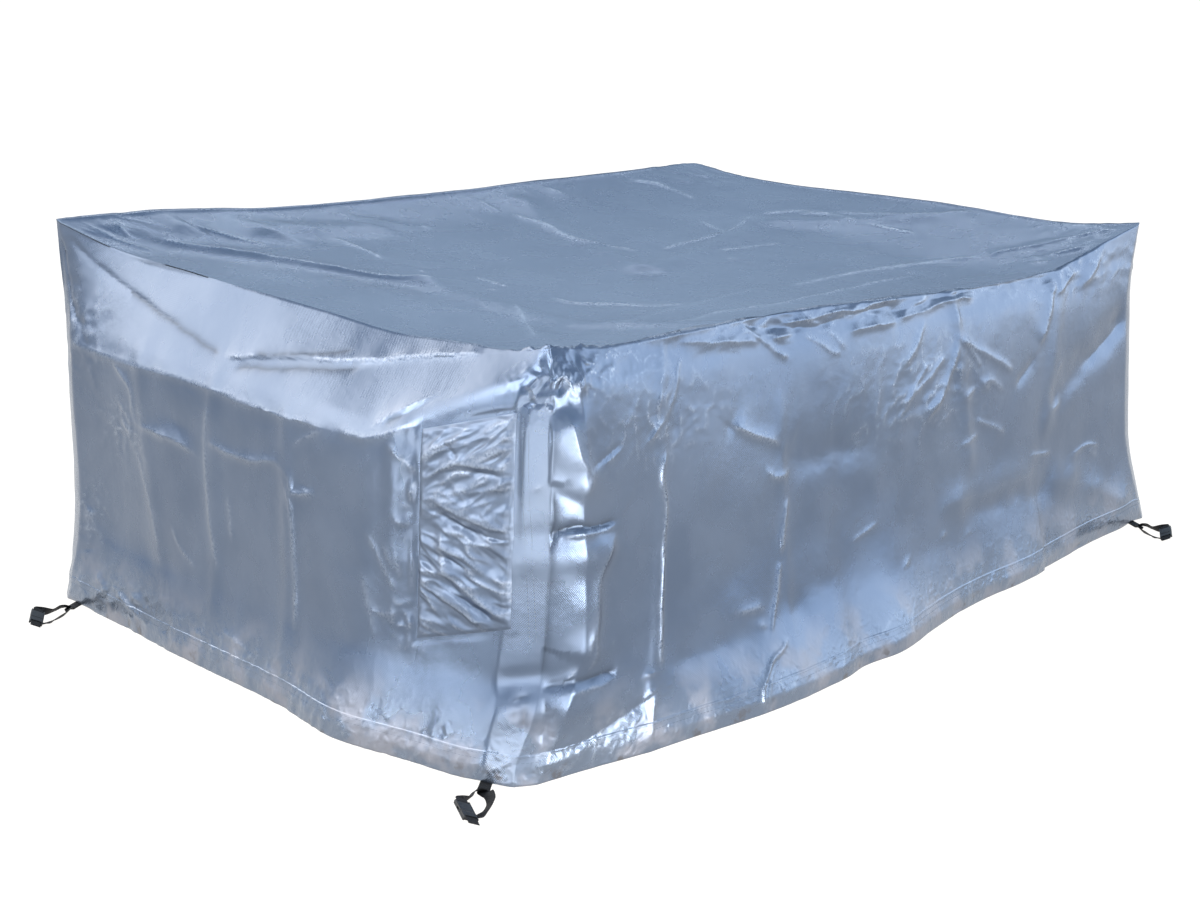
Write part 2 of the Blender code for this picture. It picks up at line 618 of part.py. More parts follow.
def buckle_pose():
    """The buckle's place in its strap's frame, with its lowest point on the floor."""
    turn, tilt, pitch = (math.radians(angle) for angle in (BUCKLE_TURN_DEG, BUCKLE_TILT_DEG, BUCKLE_PITCH_DEG))
    low_edge = BUCKLE_WIDTH / 2 * math.sin(tilt) * math.cos(pitch)
    low_end = (PLUG_LONG + TAIL_LONG) * math.sin(pitch)
    spot = Vector((*BUCKLE_MOUTH, GAP + low_edge + low_end))
    return Matrix.Translation(spot) @ Euler((-tilt, pitch, turn)).to_matrix().to_4x4()


def on_buckle(along, up, across=0.0, twist_deg=0.0, turned_over=False):
    """A webbing row at a place on the buckle, its width along the buckle's bars but for the given twist."""
    pose = buckle_pose()
    width = pose.to_3x3() @ Vector((0, 1, 0))
    heading_deg = math.degrees(math.atan2(-width.x, width.y))
    roll_deg = math.degrees(math.asin(width.z)) + twist_deg + 180 * turned_over
    return (*(pose @ Vector((along, across, up))), heading_deg, roll_deg)


def socket_wrap():
    """Webbing round the bar of the socket and back, its end sewn to itself."""
    bar = -SOCKET_LONG + BAR_LONG / 2
    lead = bar - BAR_LEAD
    middle = BUCKLE_HIGH / 2
    rows = [(lead, middle + BAR_TURN)]
    for angle_deg in range(-90, 91, 30):
        across, up = squarish(math.radians(angle_deg))
        rows.append((bar + BAR_TURN * across, middle - BAR_TURN * up))
    rows.append((lead, middle - BAR_TURN))
    return [on_buckle(along, up, turned_over=True) for along, up in rows]


def squarish(angle):
    """A point of the squarish circle that keeps webbing clear of a bar's corners."""
    return tuple(math.copysign(abs(value) ** BAR_SQUARE, value) for value in (math.cos(angle), math.sin(angle)))


def plug_wrap():
    """Webbing that comes under the plug's low side, up through its slot, over its bar and out as the loose tail."""
    clear = WEB_THICK / 2 + GAP
    bar_inner = PLUG_LONG - BAR_LONG
    slot_inner = bar_inner - SLOT_LONG
    middle = BUCKLE_HIGH / 2
    over = middle + BAR_TURN
    return [
        on_buckle(0.004, -0.0030, 0.012, twist_deg=15),
        on_buckle(slot_inner - 0.004, -clear - 0.0007, 0.0010),
        on_buckle(slot_inner, -clear - 0.0002),
        on_buckle(slot_inner + clear, -0.0004),
        on_buckle(slot_inner + clear + 0.0005, 0.0018),
        on_buckle(bar_inner - 0.0024, middle - 0.0005),
        on_buckle(bar_inner - 0.0016, over - 0.0011),
        on_buckle(bar_inner - 0.0004, over - 0.0001),
        on_buckle(PLUG_LONG, over),
        on_buckle(PLUG_LONG + TAIL_LONG, over),
    ]


def strap_set(strap, meshes, finishes, collection):
    """One corner's strap: two webbings that leave the hem one on the other, and the closed buckle they hold."""
    anchor = wall_points(strap["wall"], [strap["along"]], [4.0])[0]
    heading = math.radians(strap["heading_deg"])
    ahead = Vector((math.cos(heading), math.sin(heading), 0))
    sideways = Vector((-math.sin(heading), math.cos(heading), 0)) * strap["side"]

    def place(out, side, z):
        return Vector((anchor[0], anchor[1], 0)) + ahead * out + sideways * side + Vector((0, 0, z))

    paths = {
        "socket": [resting(row) for row in SOCKET_LEG] + socket_wrap(),
        "plug": [resting(row) for row in PLUG_LEG] + plug_wrap(),
    }
    corner, side = strap["corner"], strap["side"]
    for half, rows in paths.items():
        webbing(f"strap_{half}_{corner}", rows, place, finishes["web"], collection)
        made = new_object(f"buckle_{half}_{corner}", meshes[half].copy(), finishes["plastic"], collection)
        tilt, pitch, turn = buckle_pose().to_euler()
        made.location = place(*buckle_pose().translation)
        made.rotation_euler = (side * tilt, pitch, heading + side * turn)


def centre_on_box(collection):
    """Moves everything in plan so that the origin is the middle of the part's box."""
    bpy.context.view_layer.update()
    graph = bpy.context.evaluated_depsgraph_get()
    points = [
        thing.matrix_world @ vertex.co
        for thing in collection.objects
        for vertex in thing.evaluated_get(graph).data.vertices
    ]
    middle = [(min(p[i] for p in points) + max(p[i] for p in points)) / 2 for i in range(2)]
    print("centre of the box in the cover's own frame:", [round(value, 5) for value in middle])
    for thing in collection.objects:
        thing.location -= Vector((*middle, 0))


def main():
    for thing in list(bpy.data.objects):
        bpy.data.objects.remove(thing)
    collection = bpy.data.collections.new("patio_furniture_cover")
    bpy.context.scene.collection.children.link(collection)
    finishes = {
        "cloth": material("silver_cloth", SILVER),
        "web": material("black_webbing", BLACK_WEB),
        "plastic": material("black_plastic", BLACK_PLASTIC),
    }

    sheet = cover_sheet()
    tree = sheet_tree(sheet)
    cloth = new_object("cover_cloth", sheet, finishes["cloth"], collection)
    thicken(cloth, CLOTH, -1)
    patch = new_object("corner_patch", patch_sheet(tree), finishes["cloth"], collection)
    thicken(patch, PATCH_THICK, 1)

    meshes = {"socket": socket_mesh(), "plug": plug_mesh()}
    for row in STRAPS:
        strap_set(dict(zip(STRAP, row)), meshes, finishes, collection)
    centre_on_box(collection)


main()
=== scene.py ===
"""Looks of the patio furniture cover: its tarpaulin sheet with folds, creases and stitching, the crumpled
patch, the webbing and the buckles, on a floor that glows as white as the photograph's background, under
soft lights, seen by the photograph's camera.

Metres, +Z up. The sheet's shape is worked out in the cover's own frame, with the floor at z = 0 and the
origin below the middle of its top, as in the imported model's source. West is -X, the short wall with the
patch, and south is -Y, the long wall. A wall has five levels, from its top edge down: edge, ridge, skirt,
band and floor.
"""

import itertools
import math

import bpy
import numpy as np
from mathutils import Euler, Matrix, Vector
from mathutils.bvhtree import BVHTree


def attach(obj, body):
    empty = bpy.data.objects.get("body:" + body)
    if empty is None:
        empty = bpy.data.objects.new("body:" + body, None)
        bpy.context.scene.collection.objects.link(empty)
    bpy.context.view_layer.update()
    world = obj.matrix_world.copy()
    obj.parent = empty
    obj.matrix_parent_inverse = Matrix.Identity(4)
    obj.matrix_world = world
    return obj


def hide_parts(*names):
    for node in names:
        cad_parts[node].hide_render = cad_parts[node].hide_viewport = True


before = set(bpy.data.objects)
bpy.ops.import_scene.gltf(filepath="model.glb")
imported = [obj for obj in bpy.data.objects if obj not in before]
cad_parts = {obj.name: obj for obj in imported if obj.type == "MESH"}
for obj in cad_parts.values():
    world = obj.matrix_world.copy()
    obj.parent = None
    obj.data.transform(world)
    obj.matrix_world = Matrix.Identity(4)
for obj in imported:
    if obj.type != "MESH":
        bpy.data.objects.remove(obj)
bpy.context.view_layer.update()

# Where the cover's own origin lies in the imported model's frame
OWN_ORIGIN = np.array((0.08669, -0.00296, 0.0))

# ---- camera, floor and lights --------------------------------------------------------------------------

CAMERA_PLACE = (-3.70, -3.18, 1.55)
CAMERA_YAW_DEG = 42.0
CAMERA_PITCH_DEG = 14.5
CAMERA_LENS = 55.56
CAMERA_SENSOR = 36.0

FLOOR_SIZE = 400.0
FLOOR_LOW = 0.0005
FLOOR_COLOR = (0.06, 0.06, 0.06, 1)
FLOOR_GLOW = (1.0, 0.98, 0.95, 1)
FLOOR_GLOW_STRENGTH = 1.03
SKY_COLOR = (0.60, 0.80, 1.06, 1)
SKY_STRENGTH = 0.96

# Lights: the point each is aimed at, the direction it stands in, how far off, its two sides, its power and
# its colour
LIGHT = ("name", "aim", "azimuth_deg", "elevation_deg", "distance", "wide", "high", "watts", "color")
LIGHTS = (
    ("slope", (-1.25, 0.0, 0.75), 112, 24, 4.5, 7.0, 2.75, 250, (1.0, 0.90, 0.79)),
    ("corner", (-1.20, -0.85, 0.30), 264, 4, 1.3, 1.27, 0.80, 8, (1.0, 0.95, 0.89)),
    ("strip", (-1.20, -0.85, 0.30), 206, 4, 1.4, 1.0, 0.80, 11, (1.0, 0.95, 0.89)),
    ("glint", (-0.60, -0.87, 0.30), 258, -3, 1.8, 0.8, 0.80, 26, (1.0, 0.98, 0.95)),
    ("rake", (-1.30, 0.10, 0.40), 172, 0, 2.2, 0.35, 0.90, 9, (1.0, 0.98, 0.95)),
    ("patch", (-1.30, -0.65, 0.50), 156, 30, 2.0, 1.0, 0.70, 22, (1.0, 0.98, 0.95)),
    ("tips", (-1.18, -0.80, 0.82), 226, 40, 1.6, 1.0, 0.90, 20, (1.0, 0.98, 0.95)),
    ("overhead", (-0.60, -0.50, 0.80), 222, 74, 4.0, 1.8, 1.8, 120, (1.0, 0.99, 0.97)),
    ("front", (0.30, -0.85, 0.50), 322, 14, 4.5, 5.0, 2.6, 95, (0.86, 0.93, 1.0)),
    ("behind", (0.0, 0.0, 0.85), 42, 35, 5.0, 6.0, 0.3, 32, (0.95, 0.98, 1.0)),
)


def linked(name, data):
    """A new object of the data, in the scene."""
    made = bpy.data.objects.new(name, data)
    bpy.context.scene.collection.objects.link(made)
    return made


def own(point):
    """A point of the cover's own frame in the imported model's frame."""
    return Vector(np.asarray(point, float) + OWN_ORIGIN)


def add_camera():
    camera = linked("camera", bpy.data.cameras.new("camera"))
    camera.location = own(CAMERA_PLACE)
    camera.rotation_euler = (math.radians(90 - CAMERA_PITCH_DEG), 0, math.radians(CAMERA_YAW_DEG - 90))
    camera.data.sensor_width = CAMERA_SENSOR
    camera.data.lens = CAMERA_LENS
    bpy.context.scene.camera = camera


def add_light(row):
    light = bpy.data.lights.new(row["name"], "AREA")
    light.shape = "RECTANGLE"
    light.size, light.size_y = row["wide"], row["high"]
    light.energy = row["watts"]
    light.color = row["color"]
    thing = linked(row["name"], light)
    azimuth, elevation = math.radians(row["azimuth_deg"]), math.radians(row["elevation_deg"])
    level = math.cos(elevation)
    away = Vector((level * math.cos(azimuth), level * math.sin(azimuth), math.sin(elevation)))
    thing.location = own(row["aim"]) + away * row["distance"]
    thing.rotation_euler = away.to_track_quat("Z", "Y").to_euler()
    thing.visible_camera = False


def add_stage():
    floor_mesh = bpy.data.meshes.new("floor")
    half = FLOOR_SIZE / 2
    around = ((-half, -half), (half, -half), (half, half), (-half, half))
    floor_mesh.from_pydata([(x, y, -FLOOR_LOW) for x, y in around], [], [(0, 1, 2, 3)])
    floor = linked("floor", floor_mesh)
    paint = bpy.data.materials.new("floor_paint")
    paint.use_nodes = True
    shader = paint.node_tree.nodes["Principled BSDF"]
    shader.inputs["Base Color"].default_value = FLOOR_COLOR
    shader.inputs["Roughness"].default_value = 0.9
    shader.inputs["Emission Color"].default_value = FLOOR_GLOW
    shader.inputs["Emission Strength"].default_value = FLOOR_GLOW_STRENGTH
    floor_mesh.materials.append(paint)

    world = bpy.data.worlds.new("sky")
    world.use_nodes = True
    background = world.node_tree.nodes["Background"]
    background.inputs["Color"].default_value = SKY_COLOR
    background.inputs["Strength"].default_value = SKY_STRENGTH
    bpy.context.scene.world = world
    bpy.context.scene.view_settings.view_transform = "Standard"
    for row in LIGHTS:
        add_light(dict(zip(LIGHT, row)))


# ---- the sheet's shape ---------------------------------------------------------------------------------

# The sections, the top's folds and the straps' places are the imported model's. The wall folds and tucks are
# lower than its own, and the lower corners are flattened, because the photographed walls are flatter.

LENGTH = 2.42
WIDTH = 1.62
HEM_BAND = 0.03
HEM_SOFT = 0.01

WALLS = {
    "west": {"out": (-1, 0, 0), "run": (0, 1, 0), "half_out": LENGTH / 2, "half_run": WIDTH / 2},
    "east": {"out": (1, 0, 0), "run": (0, 1, 0), "half_out": LENGTH / 2, "half_run": WIDTH / 2},
    "south": {"out": (0, -1, 0), "run": (1, 0, 0), "half_out": WIDTH / 2, "half_run": LENGTH / 2},
    "north": {"out": (0, 1, 0), "run": (1, 0, 0), "half_out": WIDTH / 2, "half_run": LENGTH / 2},
}

SECTION = ("along", "edge_z", "ridge_z", "skirt_z", "edge_out", "ridge_out", "skirt_out", "hem_out", "soft")
SECTIONS = {
    "west": (
        (-0.81, 0.860, 0.800, 0.22, 0.000, 0.030, 0.062, 0.125, 0.30),
        (-0.68, 0.838, 0.765, 0.22, -0.010, 0.055, 0.088, 0.150, 0.25),
        (-0.55, 0.832, 0.705, 0.22, -0.025, 0.085, 0.110, 0.165, 0.22),
        (-0.36, 0.825, 0.640, 0.22, -0.035, 0.115, 0.135, 0.194, 0.20),
        (-0.12, 0.842, 0.652, 0.22, -0.035, 0.105, 0.115, 0.155, 0.20),
        (0.12, 0.860, 0.650, 0.22, -0.030, 0.092, 0.098, 0.131, 0.20),
        (0.35, 0.882, 0.655, 0.22, -0.020, 0.080, 0.082, 0.116, 0.20),
        (0.58, 0.902, 0.655, 0.22, -0.010, 0.062, 0.058, 0.088, 0.22),
        (0.81, 0.968, 0.690, 0.22, 0.040, 0.045, 0.055, 0.066, 0.35),
    ),
    "south": (
        (-1.21, 0.860, 0.800, 0.22, 0.000, 0.040, 0.044, 0.016, 0.30),
        (-1.03, 0.838, 0.740, 0.24, 0.000, 0.034, 0.050, 0.058, 0.35),
        (-0.86, 0.834, 0.720, 0.24, -0.005, 0.028, 0.056, 0.098, 0.40),
        (-0.58, 0.830, 0.710, 0.24, -0.010, 0.024, 0.064, 0.146, 0.40),
        (-0.36, 0.822, 0.700, 0.24, -0.010, 0.022, 0.064, 0.156, 0.40),
        (-0.27, 0.818, 0.700, 0.24, -0.010, 0.022, 0.060, 0.143, 0.40),
        (-0.16, 0.810, 0.690, 0.24, -0.010, 0.022, 0.060, 0.155, 0.40),
        (0.03, 0.798, 0.690, 0.24, -0.012, 0.022, 0.054, 0.124, 0.40),
        (0.22, 0.787, 0.690, 0.24, -0.015, 0.020, 0.048, 0.102, 0.40),
        (0.46, 0.778, 0.690, 0.24, -0.015, 0.018, 0.046, 0.109, 0.40),
        (0.72, 0.776, 0.690, 0.24, -0.015, 0.014, 0.040, 0.092, 0.40),
        (0.90, 0.800, 0.690, 0.24, -0.010, 0.010, 0.032, 0.071, 0.40),
        (1.08, 0.838, 0.690, 0.24, 0.000, 0.010, 0.036, 0.074, 0.40),
        (1.21, 0.860, 0.690, 0.22, 0.006, 0.014, 0.045, 0.070, 0.35),
    ),
    "east": (
        (-0.81, 0.860, 0.690, 0.22, 0.015, 0.014, 0.034, 0.060, 0.35),
        (-0.60, 0.842, 0.690, 0.22, -0.010, 0.030, 0.055, 0.095, 0.35),
        (-0.30, 0.862, 0.690, 0.22, -0.020, 0.050, 0.080, 0.128, 0.35),
        (0.05, 0.876, 0.690, 0.22, -0.025, 0.055, 0.085, 0.118, 0.35),
        (0.37, 0.882, 0.690, 0.22, -0.020, 0.045, 0.075, 0.132, 0.35),
        (0.62, 0.896, 0.690, 0.22, -0.010, 0.030, 0.055, 0.100, 0.35),
        (0.81, 0.920, 0.690, 0.22, 0.000, 0.012, 0.030, 0.060, 0.35),
    ),
    "north": (
        (-1.21, 0.968, 0.690, 0.22, 0.012, 0.030, 0.055, 0.062, 0.35),
        (-0.95, 0.962, 0.700, 0.23, -0.005, 0.032, 0.055, 0.096, 0.40),
        (-0.50, 0.936, 0.700, 0.24, -0.015, 0.040, 0.070, 0.142, 0.40),
        (-0.05, 0.927, 0.700, 0.24, -0.020, 0.040, 0.066, 0.118, 0.40),
        (0.40, 0.925, 0.700, 0.24, -0.015, 0.036, 0.064, 0.138, 0.40),
        (0.90, 0.924, 0.700, 0.23, -0.005, 0.024, 0.046, 0.088, 0.40),
        (1.21, 0.920, 0.690, 0.22, 0.000, 0.012, 0.030, 0.060, 0.35),
    ),
}

CORNER_ROUND = (0.025, 0.085, 0.105, 0.07, 0.05)
CORNER_FLAT = 0.8

WALL_FOLD = ("wall", "along", "lean", "low", "high", "height", "width")
WALL_FOLDS = (
    ("south", -0.90, 0.05, 0.06, 0.80, 0.0022, 0.016),
    ("south", -0.50, 0.02, 0.06, 0.60, 0.0024, 0.018),
    ("south", 0.25, -0.10, 0.38, 0.78, 0.0048, 0.028),
    ("south", 0.72, 0.22, 0.40, 0.80, 0.004, 0.034),
    ("west", -0.46, 0.00, 0.30, 0.66, 0.0036, 0.024),
    ("west", -0.13, 0.00, 0.10, 0.62, 0.0044, 0.024),
    ("west", 0.14, 0.00, 0.16, 0.66, 0.0036, 0.024),
    ("west", 0.40, 0.12, 0.22, 0.66, 0.0032, 0.028),
    ("north", -0.55, 0.04, 0.00, 0.84, 0.0048, 0.030),
    ("north", 0.35, -0.05, 0.05, 0.70, 0.0044, 0.030),
    ("east", -0.25, 0.05, 0.00, 0.70, 0.0044, 0.030),
    ("east", 0.30, -0.04, 0.05, 0.80, 0.004, 0.030),
)

TUCK = ("wall", "start", "end", "start_z", "end_z", "height", "width")
TUCKS = (
    ("south", -1.28, -1.02, 0.500, 0.490, -0.0035, 0.026),
    ("south", -1.28, -1.02, 0.450, 0.440, 0.0042, 0.032),
    ("west", -0.85, -0.70, 0.215, 0.190, -0.0042, 0.026),
    ("south", -1.28, -1.00, 0.215, 0.185, -0.0042, 0.026),
    ("west", -0.85, -0.70, 0.150, 0.130, 0.0042, 0.034),
    ("south", -1.28, -0.95, 0.150, 0.125, 0.0056, 0.034),
)

FOLD_BLUR = 0.08
TUCK_BLUR = 0.3

TOP_FOLD = ("x_from", "y_from", "x_to", "y_to", "height", "width")
TOP_FOLDS = (
    (-1.05, 0.72, -0.40, 0.62, 0.012, 0.060),
    (-1.02, 0.66, -0.70, 0.10, 0.010, 0.050),
    (-0.70, 0.10, -0.72, -0.40, 0.007, 0.045),
    (0.25, 0.68, -0.05, -0.02, 0.009, 0.045),
    (-0.02, -0.05, 0.70, 0.15, 0.008, 0.045),
    (0.75, 0.18, 1.12, -0.30, 0.008, 0.050),
    (-0.75, -0.45, -0.55, -0.68, 0.008, 0.045),
    (-1.02, -0.62, -0.85, -0.40, 0.008, 0.045),
)
TOP_SAG = 0.030
TOP_FOLD_END = 6.0

HEM_LIFT_SPREAD = 0.050
LIFT_FREE_END = 0.020
STRAP = ("corner", "wall", "along", "heading_deg", "side", "hem_lift")
STRAPS = (
    ("near", "west", -0.746, 216.0, 1, 0.0051),
    ("left", "west", 0.715, 205.0, 1, 0.0051),
    ("right", "south", 1.100, 236.0, -1, 0.0065),
    ("back", "north", 1.100, 60.0, 1, 0.0065),
)


def glide(at, places, values):
    """A smooth curve through the values at the places, with no overshoot between them."""
    places, values = np.asarray(places, float), np.asarray(values, float)
    step = np.diff(places)
    slope = np.diff(values) / step
    product = slope[1:] * slope[:-1]
    total = np.where(product > 0, slope[1:] + slope[:-1], 1.0)
    tangent = np.concatenate([slope[:1], np.where(product > 0, 2 * product / total, 0.0), slope[-1:]])
    index = np.clip(np.searchsorted(places, at) - 1, 0, len(step) - 1)
    part = (at - places[index]) / step[index]
    low, high = values[index], values[index + 1]
    start, end = tangent[index] * step[index], tangent[index + 1] * step[index]
    cubic = 2 * (low - high) + start + end
    return ((cubic * part + (3 * (high - low) - 2 * start - end)) * part + start) * part + low


def bend(down, levels, soft):
    """Straight runs between the levels at down = 0, 1, 2 and so on, each inner corner rounded over soft."""
    index = np.clip(np.floor(down).astype(int), 0, len(levels) - 2)
    part = down - index
    column = np.arange(levels.shape[1])
    value = levels[index, column] * (1 - part) + levels[index + 1, column] * part
    for corner in range(1, len(levels) - 1):
        turn = levels[corner + 1] - 2 * levels[corner] + levels[corner - 1]
        near = np.clip(1 - np.abs(down - corner) / soft, 0, 1)
        value = value + turn * soft / 4 * near**2
    return value


def summed(steps):
    """Running total of the steps, from 0."""
    return np.concatenate([[0.0], np.cumsum(steps)])


def bump(distance, width):
    """1 at no distance, falling softly over width."""
    return np.exp(-((distance / width) ** 2))


def smooth(part):
    """0 to 1 with a soft start and end."""
    part = np.clip(part, 0, 1)
    return part * part * (3 - 2 * part)


def fade(value, low, high, blur):
    """1 between low and high, falling smoothly to 0 over blur outside them."""
    return smooth((value - low) / blur + 1) * smooth((high - value) / blur + 1)


def rows_of(table, columns, wall):
    """The table's rows for one wall, each as a dictionary by column name."""
    rows = (dict(zip(columns, row)) for row in table)
    return [row for row in rows if row["wall"] == wall]


def section(wall, along, down):
    """(outward distance, height) of a wall's plain sheet, before its folds."""
    table = np.array(SECTIONS[wall])
    at = {name: glide(along, table[:, 0], table[:, i]) for i, name in enumerate(SECTION) if i}
    flat = np.zeros_like(along)
    heights = np.array([at["edge_z"], at["ridge_z"], at["skirt_z"], flat + HEM_BAND, flat])
    outs = np.array([at["edge_out"], at["ridge_out"], at["skirt_out"], at["hem_out"], at["hem_out"]])
    soft = np.where(down > 2.5, HEM_SOFT, at["soft"])
    return bend(down, outs, soft), bend(down, heights, soft)


def folded_section(wall, along, down):
    """(outward distance, height) of a wall with its folds, its tucks and the straps' lift of its hem."""
    out, height = section(wall, along, down)
    for fold in rows_of(WALL_FOLDS, WALL_FOLD, wall):
        near = bump(along - fold["along"], fold["width"]) * (down > 0)
        reach = fade(np.maximum(height, HEM_BAND), fold["low"], fold["high"], FOLD_BLUR)
        out = out + fold["height"] * near * reach
    for tuck in rows_of(TUCKS, TUCK, wall):
        part = (along - tuck["start"]) / (tuck["end"] - tuck["start"])
        line = tuck["start_z"] + (tuck["end_z"] - tuck["start_z"]) * np.clip(part, 0, 1)
        reach = fade(part, 0, 1 - TUCK_BLUR, TUCK_BLUR)
        out = out + tuck["height"] * bump(height - line, tuck["width"]) * reach
    for strap in rows_of(STRAPS, STRAP, wall):
        from_end = WALLS[wall]["half_run"] - np.abs(along)
        near_end = bump(from_end, LIFT_FREE_END)
        lift = strap["hem_lift"] * bump(along - strap["along"], HEM_LIFT_SPREAD) * (1 - near_end)
        height = height + lift * np.clip(down - 2, 0, 1)
    return out, height


def corner_shift(wall, end, down):
    """How far the neighbouring wall carries this wall's corner outwards along it, at end -1 or 1."""
    neighbours = ("south", "north") if wall in ("west", "east") else ("west", "east")
    neighbour = neighbours[0] if end < 0 else neighbours[1]
    own_side = -1 if wall in ("west", "south") else 1
    corner = own_side * WALLS[neighbour]["half_run"]
    return folded_section(neighbour, np.full_like(down, corner), down)[0]


def wall_points(wall, along, down):
    """Points of a wall in the cover's own frame, for arrays of its along and down values."""
    along, down = np.broadcast_arrays(np.asarray(along, float), np.asarray(down, float))
    along, down = along.ravel(), down.ravel()
    place = WALLS[wall]
    half = place["half_run"]
    out, height = folded_section(wall, along, down)

    run = along.copy()
    for fold in rows_of(WALL_FOLDS, WALL_FOLD, wall):
        middle = (fold["low"] + fold["high"]) / 2
        run = run + fold["lean"] * (height - middle) * bump(along - fold["along"], 0.100) * (down > 0)
    share = (along + half) / (2 * half)
    low_shift, high_shift = corner_shift(wall, -1, down), corner_shift(wall, 1, down)
    run = run - (1 - share) ** 2 * low_shift + share**2 * high_shift

    radius = np.interp(down, range(len(CORNER_ROUND)), CORNER_ROUND)
    for end, shift in ((-1, low_shift), (1, high_shift)):
        corner = end * (half + shift)
        distance = np.abs(corner - run)
        part = np.clip(1 - distance / radius, 0, 1)
        turn = part * math.pi / 4
        chord = part * (1 - math.sqrt(0.5))
        drop = CORNER_FLAT * chord + (1 - CORNER_FLAT) * (1 - np.cos(turn))
        step = CORNER_FLAT * (1 - part * math.sqrt(0.5)) + (1 - CORNER_FLAT) * (1 - np.sin(turn))
        inside = distance < radius
        out = np.where(inside, out - radius * drop, out)
        run = np.where(inside, corner - end * radius * step, run)

    outward = place["half_out"] + out
    points = np.outer(outward, place["out"]) + np.outer(run, place["run"])
    points[:, 2] = height
    return points


def top_points(x_lines, y_lines):
    """Points of the top, a sheet hung between the four walls' edges, as an array [x line, y line]."""
    share_x = ((x_lines / LENGTH) + 0.5)[:, None, None]
    share_y = ((y_lines / WIDTH) + 0.5)[None, :, None]
    zero_x, zero_y = np.zeros_like(x_lines), np.zeros_like(y_lines)
    south = wall_points("south", x_lines, zero_x)[:, None, :]
    north = wall_points("north", x_lines, zero_x)[:, None, :]
    west = wall_points("west", y_lines, zero_y)[None, :, :]
    east = wall_points("east", y_lines, zero_y)[None, :, :]
    sides = (1 - share_y) * south + share_y * north + (1 - share_x) * west + share_x * east
    corners = (
        (1 - share_x) * (1 - share_y) * south[:1]
        + share_x * (1 - share_y) * south[-1:]
        + (1 - share_x) * share_y * north[:1]
        + share_x * share_y * north[-1:]
    )
    points = sides - corners
    x, y = points[..., 0], points[..., 1]
    inside = np.sin(math.pi * share_x[..., 0]) * np.sin(math.pi * share_y[..., 0])
    points[..., 2] -= TOP_SAG * np.sqrt(np.clip(inside, 0, 1))
    for fold in (dict(zip(TOP_FOLD, row)) for row in TOP_FOLDS):
        points[..., 2] += segment_bump(x, y, fold) * np.clip(inside * TOP_FOLD_END, 0, 1)
    return points


def segment_bump(x, y, fold):
    """A ridge along the segment of the plan that the fold gives."""
    run_x, run_y = fold["x_to"] - fold["x_from"], fold["y_to"] - fold["y_from"]
    off_x, off_y = x - fold["x_from"], y - fold["y_from"]
    part = np.clip((off_x * run_x + off_y * run_y) / (run_x**2 + run_y**2), 0, 1)
    away = np.hypot(off_x - part * run_x, off_y - part * run_y)
    return fold["height"] * bump(away, fold["width"])


# ---- creases and crumples ------------------------------------------------------------------------------

# Kinds of crease: height, width of its fore side (up, or to the left as seen from outside) and of its aft
# side, how sharp its crest is, how far its ends taper, and how much its crest is worn and lightened as a
# painted glint (below 0, how dark its groove is painted, as painted shade)
KIND = ("height", "fore", "aft", "sharp", "taper", "wear_and_painted_light")
KINDS = {
    "hair": (0.0021, 0.006, 0.006, 1.0, 0.03, 0.12),
    "fine": (0.0038, 0.010, 0.008, 1.0, 0.04, 0.15),
    "ridge": (0.0060, 0.020, 0.012, 0.9, 0.06, 0.12),
    "ribbon": (0.0044, 0.0068, 0.0040, 1.0, 0.03, 0.20),
    "lap": (0.0060, 0.030, 0.0050, 1.0, 0.06, 0.15),
    "broad": (0.0060, 0.050, 0.040, 0.3, 0.10, 0.05),
    # a slit's negative wear is painted shade along its groove
    "slit": (-0.0028, 0.007, 0.007, 1.0, 0.03, -0.55),
    "valley": (-0.0045, 0.016, 0.020, 0.9, 0.06, 0.0),
    "trough": (-0.0060, 0.050, 0.040, 0.2, 0.10, 0.0),
    "edge": (0.0120, 0.085, 0.028, 1.0, 0.06, 0.10),
    "flap": (0.0080, 0.026, 0.008, 0.9, 0.05, 0.20),
}

